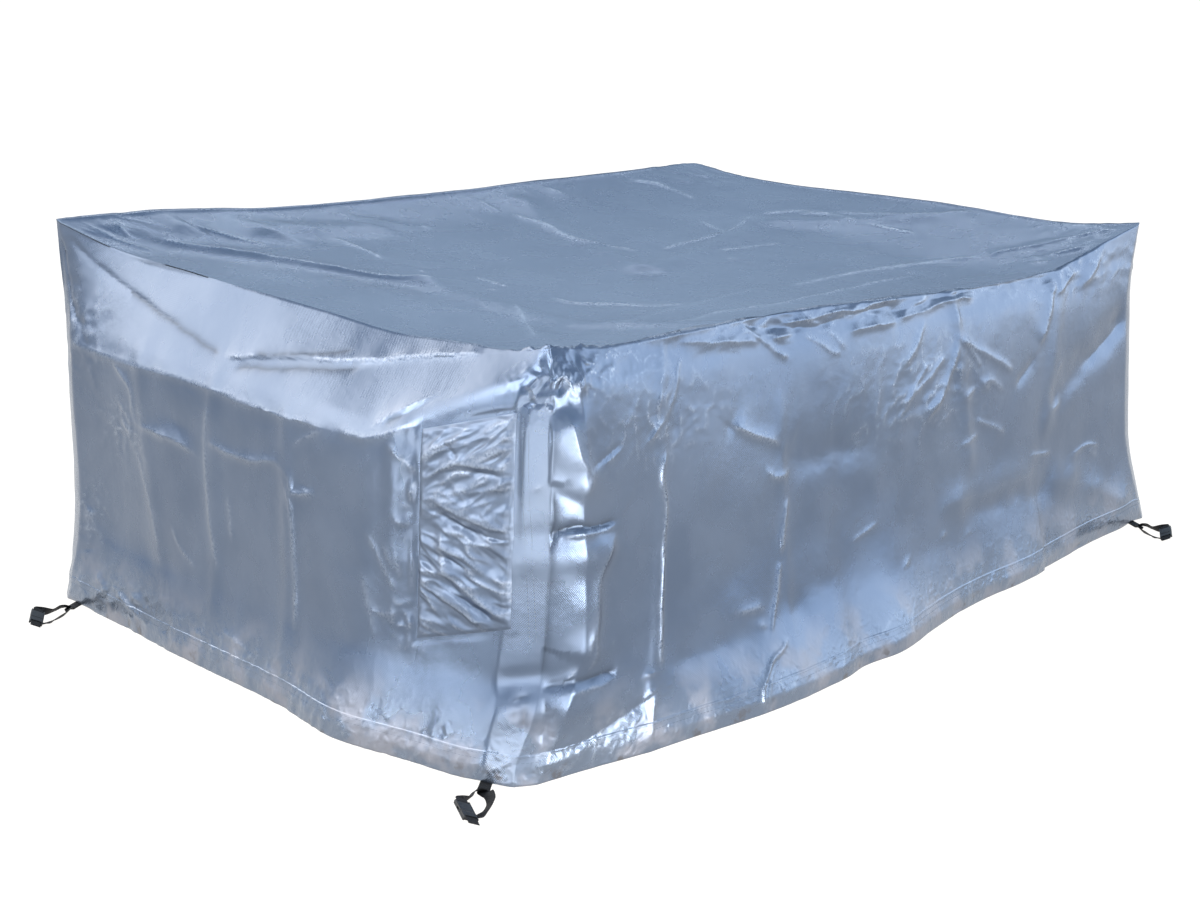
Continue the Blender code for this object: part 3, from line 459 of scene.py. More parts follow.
# Creases of each panel: their kind and share of its height, and places on the panel: (x, y) on the top, (y,
# z) on the west and east walls and on the patch, (x, z) on the south and north walls
CREASE = ("kind", "share", "places")
CREASES = {
    "west": (
        # the pale slope over the west wall, and the ridge below it
        ("slit", 1.0, (
            (0.775, 0.93), (0.73, 0.895), (0.635, 0.845), (0.485, 0.80), (0.30, 0.755), (0.155, 0.72),
        )),
        ("lap", 1.0, ((0.15, 0.72), (-0.05, 0.745), (-0.28, 0.765), (-0.46, 0.795), (-0.64, 0.825))),
        ("slit", 1.2, ((0.10, 0.705), (-0.10, 0.727), (-0.30, 0.752))),
        ("slit", 0.7, ((0.05, 0.735), (-0.12, 0.757), (-0.26, 0.780))),
        ("trough", 1.2, ((0.80, 0.93), (0.785, 0.85), (0.76, 0.765), (0.715, 0.675))),
        ("slit", 1.5, ((0.80, 0.93), (0.785, 0.85), (0.76, 0.765), (0.735, 0.72))),
        ("ridge", 0.8, ((0.765, 0.67), (0.57, 0.66), (0.235, 0.655), (0.0, 0.64), (-0.29, 0.635))),
        ("ridge", 0.9, ((-0.29, 0.635), (-0.385, 0.635), (-0.425, 0.64), (-0.50, 0.67), (-0.555, 0.685))),
        ("lap", 0.7, ((-0.39, 0.65), (-0.48, 0.70), (-0.565, 0.75))),
        ("slit", 0.8, ((-0.43, 0.665), (-0.50, 0.70), (-0.56, 0.735))),
        # the west wall's upper folds
        ("fine", 1.0, ((0.57, 0.655), (0.52, 0.63), (0.475, 0.59), (0.47, 0.545), (0.455, 0.525))),
        ("fine", 0.8, ((0.555, 0.575), (0.51, 0.54), (0.465, 0.505))),
        ("fine", 0.8, ((0.545, 0.52), (0.49, 0.495), (0.47, 0.485))),
        ("ridge", 1.3, ((0.455, 0.52), (0.355, 0.515), (0.255, 0.505), (0.19, 0.485))),
        ("ridge", 1.2, ((0.175, 0.535), (0.06, 0.52), (-0.02, 0.52), (-0.10, 0.535), (-0.145, 0.515))),
        ("trough", 0.6, ((0.385, 0.575), (0.30, 0.56), (0.195, 0.54))),
        ("hair", 0.8, ((-0.16, 0.57), (-0.18, 0.59), (-0.27, 0.635))),
        ("fine", 1.2, ((-0.14, 0.525), (-0.155, 0.505), (-0.165, 0.475), (-0.23, 0.495), (-0.21, 0.507))),
        # its upright creases
        ("fine", 0.8, ((0.155, 0.62), (0.165, 0.555), (0.17, 0.46), (0.16, 0.345), (0.14, 0.225))),
        ("hair", 0.9, ((0.09, 0.425), (0.085, 0.36), (0.08, 0.31))),
        ("fine", 1.1, ((-0.135, 0.50), (-0.155, 0.455), (-0.16, 0.345), (-0.165, 0.275), (-0.165, 0.165))),
        ("hair", 0.8, ((0.475, 0.46), (0.44, 0.38), (0.415, 0.295), (0.405, 0.225))),
        ("fine", 0.8, ((0.415, 0.21), (0.38, 0.19))),
        ("hair", 0.7, ((0.335, 0.305), (0.295, 0.25), (0.225, 0.215))),
        ("trough", 0.8, ((0.69, 0.22), (0.545, 0.21), (0.465, 0.20), (0.275, 0.205))),
        ("slit", 1.0, ((0.79, 0.135), (0.69, 0.165))),
        ("fine", 0.7, ((0.75, 0.27), (0.71, 0.24), (0.69, 0.20))),
        ("fine", 0.7, ((0.76, 0.235), (0.71, 0.24), (0.67, 0.265))),
        # beside the patch
        ("fine", 0.9, ((-0.45, 0.64), (-0.495, 0.615), (-0.53, 0.595), (-0.552, 0.55))),
        ("fine", 1.5, ((-0.53, 0.585), (-0.53, 0.54), (-0.54, 0.51))),
        ("fine", 1.7, ((-0.54, 0.485), (-0.537, 0.44), (-0.532, 0.375), (-0.533, 0.32))),
        ("fine", 1.2, ((-0.53, 0.26), (-0.537, 0.205))),
        ("fine", 1.0, ((-0.47, 0.495), (-0.495, 0.48), (-0.515, 0.477), (-0.537, 0.488))),
        ("hair", 1.0, ((-0.48, 0.55), (-0.495, 0.54))),
        ("hair", 0.8, ((-0.40, 0.45), (-0.45, 0.385), (-0.50, 0.325))),
        ("hair", 0.8, ((-0.45, 0.435), (-0.49, 0.37))),
        ("hair", 0.8, ((-0.487, 0.425), (-0.505, 0.35))),
        ("hair", 0.8, ((-0.41, 0.285), (-0.45, 0.28), (-0.505, 0.288))),
        ("fine", 1.2, ((-0.505, 0.275), (-0.535, 0.275), (-0.565, 0.27))),
        ("edge", 0.25, ((-0.39, 0.38), (-0.415, 0.29), (-0.44, 0.21))),
        # the hem of the west wall
        ("fine", 1.0, ((0.775, 0.085), (0.73, 0.045))),
        ("fine", 1.2, ((0.605, 0.09), (0.50, 0.055), (0.40, 0.03))),
        ("fine", 1.0, ((0.525, 0.095), (0.445, 0.07))),
        ("fine", 1.0, ((0.69, 0.11), (0.63, 0.06), (0.60, 0.03))),
        ("fine", 0.8, ((0.23, 0.075), (0.16, 0.07))),
        ("fine", 0.8, ((0.105, 0.10), (0.005, 0.085))),
        ("valley", 0.8, ((-0.145, 0.115), (-0.12, 0.055), (-0.145, 0.015))),
        ("valley", 0.7, ((-0.19, 0.125), (-0.19, 0.08), (-0.255, 0.06))),
        # the strip between the patch and the near corner
        ("fine", 0.8, ((-0.785, 0.74), (-0.82, 0.742))),
        ("fine", 1.0, ((-0.79, 0.595), (-0.80, 0.587), (-0.82, 0.605))),
        ("slit", 1.5, ((-0.755, 0.807), (-0.79, 0.772), (-0.81, 0.77))),
        ("slit", 1.5, ((-0.76, 0.745), (-0.79, 0.755), (-0.815, 0.756))),
        ("slit", 1.4, ((-0.775, 0.155), (-0.79, 0.17), (-0.815, 0.178))),
        ("slit", 1.2, ((-0.79, 0.155), (-0.793, 0.115))),
        ("slit", 1.2, ((-0.805, 0.168), (-0.811, 0.085))),
        ("slit", 1.2, ((-0.835, 0.147), (-0.845, 0.09))),
    ),
    "south": (
        # the near corner on the south wall: the gather at its top, its seam, and the band turned towards the
        # west
        ("ridge", 0.8, ((-0.97, 0.836), (-0.82, 0.831), (-0.66, 0.829), (-0.51, 0.829))),
        ("fine", 1.2, ((-1.215, 0.81), (-1.215, 0.79), (-1.21, 0.763))),
        ("slit", 1.6, ((-1.177, 0.83), (-1.20, 0.787), (-1.21, 0.763))),
        ("fine", 1.0, ((-1.13, 0.80), (-1.18, 0.784), (-1.205, 0.765))),
        ("fine", 0.8, ((-1.07, 0.80), (-1.113, 0.79))),
        ("slit", 1.2, ((-1.214, 0.76), (-1.221, 0.73), (-1.225, 0.65), (-1.223, 0.60))),
        ("slit", 1.2, ((-1.223, 0.59), (-1.219, 0.505), (-1.234, 0.455), (-1.24, 0.30), (-1.25, 0.20))),
        ("slit", 1.2, ((-1.25, 0.175), (-1.262, 0.07))),
        ("slit", 0.9, ((-1.235, 0.155), (-1.25, 0.10))),
        ("edge", 1.0, (
            (-1.204, 0.76), (-1.18, 0.69), (-1.17, 0.645), (-1.145, 0.60), (-1.154, 0.58), (-1.177, 0.54),
        )),
        ("edge", 1.0, (
            (-1.06, 0.485), (-1.08, 0.46), (-1.114, 0.42), (-1.129, 0.37), (-1.136, 0.30), (-1.14, 0.235),
            (-1.168, 0.193),
        )),
        ("slit", 1.8, ((-1.235, 0.49), (-1.217, 0.502), (-1.18, 0.508), (-1.117, 0.497), (-1.06, 0.50))),
        ("fine", 1.4, ((-1.212, 0.492), (-1.142, 0.49), (-1.06, 0.486))),
        ("slit", 1.8, (
            (-1.255, 0.18), (-1.238, 0.19), (-1.19, 0.193), (-1.15, 0.189), (-1.105, 0.189), (-1.07, 0.18),
        )),
        ("ridge", 1.0, ((-1.227, 0.17), (-1.16, 0.17), (-1.112, 0.168), (-1.083, 0.174))),
        ("valley", 1.0, (
            (-1.31, 0.05), (-1.26, 0.06), (-1.20, 0.056), (-1.14, 0.066), (-1.08, 0.085), (-0.97, 0.12),
        )),
        ("ridge", 0.9, ((-1.31, 0.03), (-1.26, 0.038), (-1.20, 0.04), (-1.145, 0.062))),
        ("hair", 1.0, ((-1.235, 0.19), (-1.20, 0.20), (-1.175, 0.228))),
        ("hair", 1.2, ((-1.136, 0.30), (-1.15, 0.27), (-1.163, 0.232))),
        ("hair", 1.0, ((-1.11, 0.203), (-1.126, 0.193))),
        ("hair", 1.0, ((-1.07, 0.254), (-1.095, 0.242))),
        ("slit", 0.9, ((-1.15, 0.62), (-1.12, 0.626), (-1.075, 0.638), (-1.04, 0.654))),
        ("hair", 1.2, ((-1.117, 0.616), (-1.07, 0.63), (-1.037, 0.647))),
        ("hair", 0.8, ((-1.026, 0.672), (-1.003, 0.717))),
        # the upright glint by the corner, with the fan of creases over it
        ("ribbon", 1.1, (
            (-0.956, 0.158), (-0.94, 0.285), (-0.93, 0.39), (-0.914, 0.508), (-0.924, 0.556), (-0.905, 0.614),
        )),
        ("ribbon", 0.8, ((-1.013, 0.018), (-0.998, 0.08), (-0.978, 0.124))),
        ("fine", 0.9, ((-0.904, 0.75), (-0.917, 0.716), (-0.931, 0.68))),
        ("fine", 0.8, ((-0.893, 0.674), (-0.934, 0.656), (-0.966, 0.636))),
        ("hair", 1.1, ((-0.824, 0.793), (-0.846, 0.764), (-0.86, 0.73), (-0.906, 0.672))),
        ("hair", 1.0, ((-0.93, 0.66), (-0.954, 0.64), (-0.976, 0.63))),
        ("hair", 1.0, ((-1.023, 0.147), (-1.0, 0.156), (-0.965, 0.157))),
        ("hair", 1.0, ((-1.03, 0.10), (-1.0, 0.118), (-0.973, 0.124))),
        # the second upright glint, with the strong slanting fold over it
        ("valley", 0.9, ((-0.724, 0.636), (-0.66, 0.60))),
        ("flap", 0.9, ((-0.69, 0.626), (-0.61, 0.585), (-0.54, 0.556), (-0.512, 0.538))),
        ("trough", 1.0, ((-0.512, 0.533), (-0.474, 0.507), (-0.38, 0.493), (-0.236, 0.486), (-0.125, 0.474))),
        ("fine", 1.0, ((-0.585, 0.513), (-0.544, 0.478), (-0.51, 0.478), (-0.484, 0.489))),
        ("ribbon", 1.0, ((-0.547, 0.30), (-0.535, 0.34), (-0.516, 0.397), (-0.50, 0.433))),
        ("ribbon", 0.8, ((-0.62, 0.146), (-0.609, 0.165), (-0.576, 0.225), (-0.547, 0.30))),
        ("ribbon", 1.1, (
            (-0.706, 0.006), (-0.687, 0.06), (-0.664, 0.08), (-0.64, 0.10), (-0.60, 0.113), (-0.566, 0.135),
        )),
        ("hair", 1.0, ((-0.70, 0.016), (-0.66, 0.066), (-0.632, 0.09))),
        ("fine", 0.8, ((-0.561, 0.322), (-0.561, 0.308))),
        # the doubled, crumpled fold under the south wall's top edge
        ("valley", 1.3, (
            (-0.625, 0.826), (-0.58, 0.811), (-0.48, 0.796), (-0.33, 0.782), (-0.20, 0.79), (-0.01, 0.784),
        )),
        ("valley", 1.1, (
            (-0.08, 0.776), (0.05, 0.772), (0.18, 0.776), (0.335, 0.775), (0.475, 0.770), (0.75, 0.766),
        )),
        ("ridge", 1.0, ((-0.845, 0.815), (-0.72, 0.80), (-0.60, 0.784), (-0.543, 0.768))),
        ("ridge", 1.3, ((-0.54, 0.777), (-0.46, 0.777), (-0.41, 0.774))),
        ("ridge", 1.3, ((-0.25, 0.755), (-0.13, 0.751), (-0.01, 0.747))),
        ("ridge", 1.3, ((-0.045, 0.755), (0.09, 0.757), (0.23, 0.765), (0.355, 0.758))),
        ("fine", 1.5, (
            (-0.47, 0.803), (-0.37, 0.80), (-0.275, 0.803), (-0.19, 0.795), (-0.10, 0.80), (0.0, 0.797),
        )),
        ("hair", 1.2, ((-0.625, 0.826), (-0.574, 0.793), (-0.52, 0.759), (-0.463, 0.72))),
        ("hair", 1.2, ((-0.59, 0.80), (-0.54, 0.774), (-0.51, 0.75), (-0.455, 0.726))),
        ("hair", 1.3, ((-0.408, 0.774), (-0.342, 0.745), (-0.30, 0.719), (-0.26, 0.709))),
        ("hair", 1.2, ((-0.325, 0.774), (-0.278, 0.748), (-0.244, 0.711))),
        # the low troughs of the south wall
        ("trough", 0.5, ((-0.778, 0.29), (-0.71, 0.304), (-0.634, 0.323))),
        ("trough", 0.6, ((-0.472, 0.182), (-0.40, 0.198), (-0.30, 0.215))),
        ("hair", 0.8, ((-0.27, 0.269), (-0.182, 0.289), (-0.153, 0.296))),
        ("fine", 0.7, ((-0.725, 0.22), (-0.68, 0.216), (-0.65, 0.214), (-0.615, 0.195))),
        ("hair", 1.0, ((-0.665, 0.182), (-0.615, 0.164))),
        ("trough", 0.9, ((-0.943, 0.164), (-0.874, 0.162), (-0.80, 0.158), (-0.723, 0.157), (-0.637, 0.154))),
        ("trough", 0.9, ((-0.592, 0.178), (-0.522, 0.173), (-0.465, 0.152), (-0.44, 0.139))),
        ("broad", 1.0, ((0.11, 0.26), (0.205, 0.268), (0.345, 0.26), (0.49, 0.26), (0.63, 0.248))),
        ("trough", 1.0, ((0.22, 0.232), (0.34, 0.23), (0.446, 0.226), (0.636, 0.214), (0.715, 0.212))),
        ("broad", 1.2, ((0.68, 0.224), (0.87, 0.174), (1.03, 0.11), (1.16, 0.055))),
        ("hair", 1.0, ((0.105, 0.19), (0.158, 0.206))),
        ("hair", 1.0, ((0.225, 0.172), (0.265, 0.182))),
        ("hair", 1.0, ((-0.087, 0.167), (-0.03, 0.188))),
        ("slit", 1.5, ((0.763, 0.005), (0.862, 0.012))),
        ("slit", 1.5, ((0.11, 0.014), (0.175, 0.008))),
        # the fan of folds in the middle of the south wall
        ("fine", 1.0, ((0.10, 0.747), (0.072, 0.715), (0.04, 0.68), (-0.032, 0.635))),
        ("fine", 1.2, ((0.233, 0.768), (0.24, 0.726), (0.242, 0.683))),
        ("ridge", 1.2, ((0.241, 0.674), (0.214, 0.625), (0.172, 0.574), (0.107, 0.519), (0.053, 0.495))),
        ("fine", 1.3, ((0.241, 0.674), (0.312, 0.638), (0.442, 0.58), (0.51, 0.544))),
        ("hair", 1.3, ((0.241, 0.674), (0.31, 0.619), (0.346, 0.575))),
        ("hair", 1.2, ((0.238, 0.622), (0.238, 0.536))),
        ("fine", 0.9, ((0.176, 0.644), (0.111, 0.608), (-0.04, 0.544))),
        ("hair", 1.2, ((0.095, 0.638), (0.04, 0.596), (-0.05, 0.514))),
        ("fine", 0.8, ((0.17, 0.546), (0.054, 0.514))),
        ("hair", 1.0, ((0.18, 0.50), (0.15, 0.468))),
        ("fine", 1.2, ((0.327, 0.559), (0.392, 0.513))),
        ("fine", 0.9, ((0.345, 0.546), (0.393, 0.54), (0.46, 0.50))),
        ("fine", 0.8, ((0.24, 0.516), (0.326, 0.534))),
        ("hair", 1.2, ((0.305, 0.455), (0.363, 0.434), (0.46, 0.392))),
        ("hair", 1.2, ((0.578, 0.308), (0.71, 0.292))),
        ("hair", 1.3, ((0.823, 0.254), (0.916, 0.274), (0.993, 0.254))),
        ("hair", 1.2, ((0.916, 0.268), (0.98, 0.229))),
        ("hair", 1.0, ((0.23, 0.40), (0.325, 0.416))),
        ("fine", 1.0, ((0.75, 0.453), (0.753, 0.421), (0.692, 0.407))),
        # the strong folds under the far end of the south wall
        ("flap", 1.2, ((0.757, 0.757), (0.711, 0.712), (0.69, 0.664), (0.638, 0.585))),
        ("flap", 1.0, ((0.868, 0.781), (0.813, 0.744), (0.734, 0.709))),
        ("flap", 0.9, ((0.99, 0.789), (0.935, 0.746), (0.878, 0.716))),
        ("trough", 1.5, ((1.16, 0.633), (0.987, 0.538), (0.82, 0.478), (0.692, 0.418))),
        ("valley", 1.0, ((1.15, 0.60), (1.042, 0.551), (0.911, 0.50))),
        ("valley", 1.0, ((0.643, 0.579), (0.58, 0.538), (0.50, 0.495))),
        ("hair", 1.0, ((0.778, 0.543), (0.735, 0.498))),
    ),
    "top": (
        # the top: creases where it was folded in its bag
        ("ridge", 1.0, (
            (-1.056, 0.67), (-1.02, 0.622), (-0.972, 0.56), (-0.90, 0.434), (-0.835, 0.295), (-0.741, 0.138),
            (-0.634, 0.065),
        )),
        ("fine", 1.0, ((-0.585, 0.761), (-0.583, 0.728))),
        ("fine", 1.0, ((-0.588, 0.658), (-0.579, 0.614))),
        ("fine", 1.0, ((-0.57, 0.597), (-0.562, 0.524), (-0.598, 0.347))),
        ("fine", 1.1, ((0.114, 0.741), (0.112, 0.64))),
        ("fine", 1.1, ((0.143, 0.63), (0.137, 0.512), (0.103, 0.396))),
        ("hair", 1.2, ((-0.224, 0.632), (-0.223, 0.565))),
        ("hair", 1.2, ((-0.594, 0.234), (-0.60, 0.182))),
        ("fine", 1.0, ((-0.51, 0.122), (-0.527, 0.015), (-0.529, -0.033))),
        ("hair", 1.2, ((-0.608, -0.017), (-0.567, -0.046))),
        ("hair", 1.2, ((-0.84, -0.151), (-0.829, -0.18))),
        ("hair", 1.2, ((-0.666, -0.18), (-0.736, -0.272), (-0.862, -0.417), (-0.955, -0.526))),
        ("fine", 1.2, ((0.138, 0.507), (0.071, 0.281), (0.114, 0.207), (0.137, 0.125))),
        ("fine", 1.4, ((0.215, 0.117), (0.345, 0.137), (0.545, 0.15), (0.785, 0.237))),
        ("fine", 1.0, ((0.545, 0.15), (0.623, 0.309))),
        ("fine", 1.0, ((0.819, 0.236), (0.915, 0.174), (0.953, 0.075))),
        ("hair", 1.2, ((0.342, 0.016), (0.442, 0.0), (0.58, -0.03))),
        ("fine", 1.0, ((0.303, -0.045), (0.285, -0.097))),
        ("fine", 1.0, ((0.284, -0.111), (0.304, -0.157))),
        ("fine", 1.2, (
            (-0.527, -0.169), (-0.538, -0.234), (-0.436, -0.32), (-0.386, -0.376), (-0.307, -0.419),
        )),
        ("broad", 0.7, (
            (-0.755, -0.565), (-0.551, -0.48), (-0.347, -0.433), (-0.177, -0.395), (0.07, -0.362),
        )),
        ("hair", 1.0, ((0.943, 0.373), (0.948, 0.347))),
        ("fine", 1.2, ((0.893, 0.153), (0.939, 0.065), (0.912, -0.06))),
        ("fine", 1.0, ((0.913, -0.086), (0.923, -0.182), (0.926, -0.264))),
        ("ridge", 0.9, ((0.962, 0.081), (1.021, -0.10), (1.057, -0.185), (1.123, -0.262), (1.176, -0.307))),
        ("fine", 1.0, ((0.157, -0.376), (0.382, -0.37), (0.549, -0.383), (0.707, -0.412))),
        ("ridge", 0.8, (
            (-0.614, -0.625), (-0.347, -0.549), (-0.145, -0.539), (0.094, -0.505), (0.418, -0.47),
            (0.585, -0.49),
        )),
        ("fine", 0.9, ((0.675, -0.405), (0.762, -0.435), (0.862, -0.519))),
        ("ridge", 1.3, ((0.857, -0.535), (0.919, -0.55), (1.0, -0.632), (1.098, -0.705), (1.165, -0.79))),
        ("hair", 1.2, ((1.074, -0.349), (1.117, -0.34))),
        ("hair", 1.2, ((0.976, -0.403), (0.98, -0.448))),
        ("hair", 1.2, ((1.159, -0.418), (1.186, -0.449))),
        ("ridge", 1.0, ((1.176, -0.539), (1.186, -0.658), (1.164, -0.752))),
        ("ridge", 1.1, ((0.907, -0.672), (0.947, -0.725), (1.004, -0.786))),
        ("fine", 1.2, ((0.921, -0.633), (0.87, -0.706))),
        ("fine", 1.2, ((0.847, -0.657), (0.86, -0.74))),
        ("trough", 0.8, ((0.21, -0.489), (0.37, -0.475), (0.49, -0.466), (0.62, -0.486))),
        ("fine", 0.9, ((0.406, 0.764), (0.458, 0.69))),
        ("fine", 1.1, ((0.80, 0.753), (0.877, 0.677), (0.858, 0.57), (0.83, 0.492))),
        # the fan at the top's left corner, and its pale bands
        ("ridge", 1.2, ((-1.10, 0.798), (-1.112, 0.737), (-1.113, 0.683))),
        ("broad", 1.2, ((-0.95, 0.80), (-0.944, 0.737), (-0.915, 0.648))),
        ("slit", 1.2, ((-0.913, 0.78), (-0.912, 0.702), (-0.913, 0.65))),
        ("fine", 1.0, ((-0.912, 0.702), (-0.854, 0.643), (-0.784, 0.572))),
        ("fine", 1.0, ((-1.18, 0.79), (-1.165, 0.715), (-1.105, 0.585))),
        ("broad", 0.8, ((-0.83, 0.78), (-0.756, 0.725), (-0.709, 0.637), (-0.678, 0.53))),
        ("broad", 0.6, ((-0.726, 0.765), (-0.65, 0.69), (-0.566, 0.616))),
        ("broad", 0.6, ((-0.462, 0.779), (-0.366, 0.69), (-0.248, 0.585))),
    ),
    "east": (
        # the east and north walls, that the photograph doesn't show
        ("fine", 1.0, ((-0.62, 0.80), (-0.55, 0.66), (-0.57, 0.52))),
        ("ridge", 1.0, ((-0.25, 0.82), (-0.20, 0.60), (-0.23, 0.34), (-0.22, 0.12))),
        ("ribbon", 0.6, ((0.30, 0.14), (0.33, 0.36), (0.31, 0.60))),
        ("fine", 0.9, ((0.62, 0.84), (0.50, 0.72), (0.44, 0.56))),
        ("hair", 1.2, ((-0.45, 0.30), (-0.38, 0.26), (-0.30, 0.27))),
        ("trough", 0.8, ((-0.60, 0.20), (-0.10, 0.17), (0.40, 0.19))),
        ("slit", 0.9, ((0.70, 0.86), (0.64, 0.70))),
        ("hair", 1.2, ((0.05, 0.70), (0.08, 0.52), (0.05, 0.40))),
    ),
    "north": (
        ("ribbon", 0.8, ((-0.55, 0.10), (-0.53, 0.34), (-0.55, 0.62), (-0.52, 0.80))),
        ("ribbon", 0.7, ((0.35, 0.08), (0.33, 0.30), (0.36, 0.58))),
        ("ridge", 1.0, ((-1.10, 0.88), (-0.98, 0.76), (-0.94, 0.60))),
        ("flap", 0.8, ((0.98, 0.84), (0.86, 0.74), (0.78, 0.60))),
        ("fine", 1.0, ((-0.20, 0.86), (-0.16, 0.70), (-0.24, 0.56))),
        ("fine", 1.0, ((-0.10, 0.60), (0.02, 0.52), (0.06, 0.42))),
        ("hair", 1.2, ((0.60, 0.50), (0.68, 0.44), (0.70, 0.34))),
        ("trough", 0.9, ((-0.90, 0.22), (-0.30, 0.18), (0.30, 0.20), (0.90, 0.17))),
        ("hair", 1.2, ((-0.80, 0.46), (-0.74, 0.40), (-0.76, 0.30))),
    ),
    "patch": (
        # the patch's slanting folds
        ("flap", 0.9, ((-0.69, 0.685), (-0.745, 0.717), (-0.787, 0.746))),
        ("flap", 0.8, ((-0.735, 0.672), (-0.787, 0.708))),
        ("flap", 1.2, ((-0.655, 0.622), (-0.694, 0.636), (-0.74, 0.657), (-0.78, 0.675))),
        ("slit", 2.0, ((-0.60, 0.665), (-0.635, 0.635), (-0.65, 0.625))),
        ("flap", 1.0, ((-0.59, 0.605), (-0.64, 0.622), (-0.687, 0.622), (-0.757, 0.62))),
        ("slit", 1.8, ((-0.60, 0.598), (-0.66, 0.61), (-0.75, 0.608))),
        ("fine", 1.6, ((-0.757, 0.644), (-0.775, 0.635), (-0.785, 0.62))),
        ("flap", 0.8, ((-0.69, 0.575), (-0.742, 0.582), (-0.785, 0.594))),
        ("flap", 1.4, ((-0.575, 0.545), (-0.62, 0.525), (-0.70, 0.508), (-0.78, 0.502))),
        ("slit", 2.2, ((-0.58, 0.515), (-0.64, 0.50), (-0.70, 0.485), (-0.78, 0.482))),
        ("fine", 1.8, ((-0.70, 0.477), (-0.785, 0.482))),
        ("flap", 1.0, ((-0.575, 0.455), (-0.62, 0.44), (-0.68, 0.425), (-0.72, 0.40))),
        ("slit", 2.0, ((-0.575, 0.435), (-0.63, 0.42), (-0.69, 0.405))),
        ("flap", 0.9, ((-0.58, 0.40), (-0.64, 0.385), (-0.70, 0.355), (-0.75, 0.33))),
        ("flap", 1.5, ((-0.575, 0.355), (-0.62, 0.34), (-0.68, 0.315), (-0.73, 0.285), (-0.77, 0.29))),
        ("slit", 2.0, ((-0.60, 0.375), (-0.67, 0.345), (-0.74, 0.31))),
        ("fine", 1.6, ((-0.71, 0.345), (-0.745, 0.335), (-0.775, 0.345))),
    ),
}

# Crumpled zones: panel, middle, reach along and up, height and size of the crumples, and the slant of their
# folds from level (as seen in the panel's plane) with how much longer than wide they are
ZONE = ("panel", "middle", "reach", "height", "size", "slant_deg", "longer")
ZONES = (
    ("west", (0.60, 0.05), (0.35, 0.07), 0.0062, 0.036, -60, 2.0),
    ("west", (0.00, 0.05), (0.50, 0.06), 0.0050, 0.036, -60, 2.0),
    ("west", (-0.50, 0.03), (0.35, 0.05), 0.0042, 0.036, -60, 2.0),
    ("west", (-0.53, 0.27), (0.07, 0.05), 0.0040, 0.035, 0, 1.0),
    ("west", (-0.55, 0.56), (0.04, 0.12), 0.0035, 0.035, 0, 1.0),
    ("west", (0.52, 0.50), (0.10, 0.07), 0.0040, 0.050, 0, 1.0),
    ("west", (-0.80, 0.78), (0.06, 0.05), 0.0060, 0.040, 0, 1.0),
    ("west", (0.72, 0.24), (0.09, 0.09), 0.0030, 0.050, 0, 1.0),
    ("west", (0.75, 0.70), (0.12, 0.12), 0.0050, 0.070, 0, 1.0),
    ("south", (-1.20, 0.81), (0.10, 0.04), 0.0100, 0.045, 0, 1.0),
    ("south", (-1.10, 0.80), (0.20, 0.05), 0.0022, 0.040, 0, 1.0),
    ("south", (-1.15, 0.05), (0.15, 0.05), 0.0030, 0.045, 60, 2.0),
    ("south", (-0.40, 0.80), (0.35, 0.028), 0.0075, 0.055, 0, 2.5),
    ("south", (0.20, 0.785), (0.45, 0.026), 0.0065, 0.050, 0, 2.5),
    ("south", (0.05, 0.58), (0.30, 0.12), 0.0026, 0.060, 0, 1.0),
    ("south", (0.85, 0.76), (0.30, 0.06), 0.0045, 0.065, 0, 1.0),
    ("south", (-0.90, 0.68), (0.20, 0.08), 0.0020, 0.050, 0, 1.0),
    ("south", (0.00, 0.03), (1.20, 0.05), 0.0016, 0.060, 60, 2.0),
    ("top", (-1.16, -0.78), (0.10, 0.06), 0.0150, 0.045, 0, 1.0),
    ("top", (-1.12, 0.76), (0.12, 0.10), 0.0030, 0.060, -60, 2.5),
    ("top", (1.05, -0.68), (0.16, 0.14), 0.0060, 0.070, -45, 2.0),
    ("top", (0.20, -0.72), (0.60, 0.06), 0.0036, 0.060, 0, 1.0),
    ("top", (1.10, 0.70), (0.14, 0.12), 0.0045, 0.070, 0, 1.0),
    ("east", (0.00, 0.04), (0.90, 0.06), 0.0034, 0.050, 60, 2.0),
    ("east", (0.70, 0.80), (0.16, 0.10), 0.0045, 0.060, 0, 1.0),
    ("east", (-0.70, 0.74), (0.16, 0.10), 0.0045, 0.060, 0, 1.0),
    ("north", (0.00, 0.04), (1.30, 0.06), 0.0030, 0.055, 60, 2.0),
    ("north", (-1.10, 0.86), (0.16, 0.10), 0.0045, 0.060, 0, 1.0),
    ("north", (1.10, 0.84), (0.16, 0.10), 0.0045, 0.060, 0, 1.0),
    ("patch", (-0.66, 0.64), (0.30, 0.13), 0.0130, 0.040, -30, 3.5),
    ("patch", (-0.66, 0.38), (0.30, 0.16), 0.0140, 0.044, 20, 3.2),
)

# Slow waves of the whole sheet: their size and height
WAVES = ((0.42, 0.0040), (0.17, 0.0016), (0.075, 0.0007))

# How crease lines waver: over which distances, and how far
WAVER = ((0.055, 0.0026), (0.021, 0.0011))

# The two axes of each panel's places, and the signs of a crease's fore side along them
PLANES = {"top": (0, 1), "west": (1, 2), "east": (1, 2), "south": (0, 2), "north": (0, 2), "patch": (1, 2)}
FORE_SIDE = {
    "top": (-1, 1),
    "west": (1, 1),
    "east": (-1, 1),
    "south": (-1, 1),
    "north": (1, 1),
    "patch": (1, 1),
}
CREASE_REACH = 3.5
# How far a crest's wear reaches either side: it carries painted glints on crests and painted shade in slits
WEAR_AND_PAINT_REACH = 0.006
TOP_WEAR_AND_PAINTED_LIGHT = 2.4
CURVE_STEP = 0.015
LEAST_END = 0.12
SWELL_SIZE = 0.07
SWELL_SHARE = 0.35
ZONE_LEAST = 0.02
# crumple crests above this share are whitened, as wear and as painted glints
ZONE_WEAR_AND_GLINT_ABOVE = 0.9
FLAT_BEHIND_PATCH = 0.012

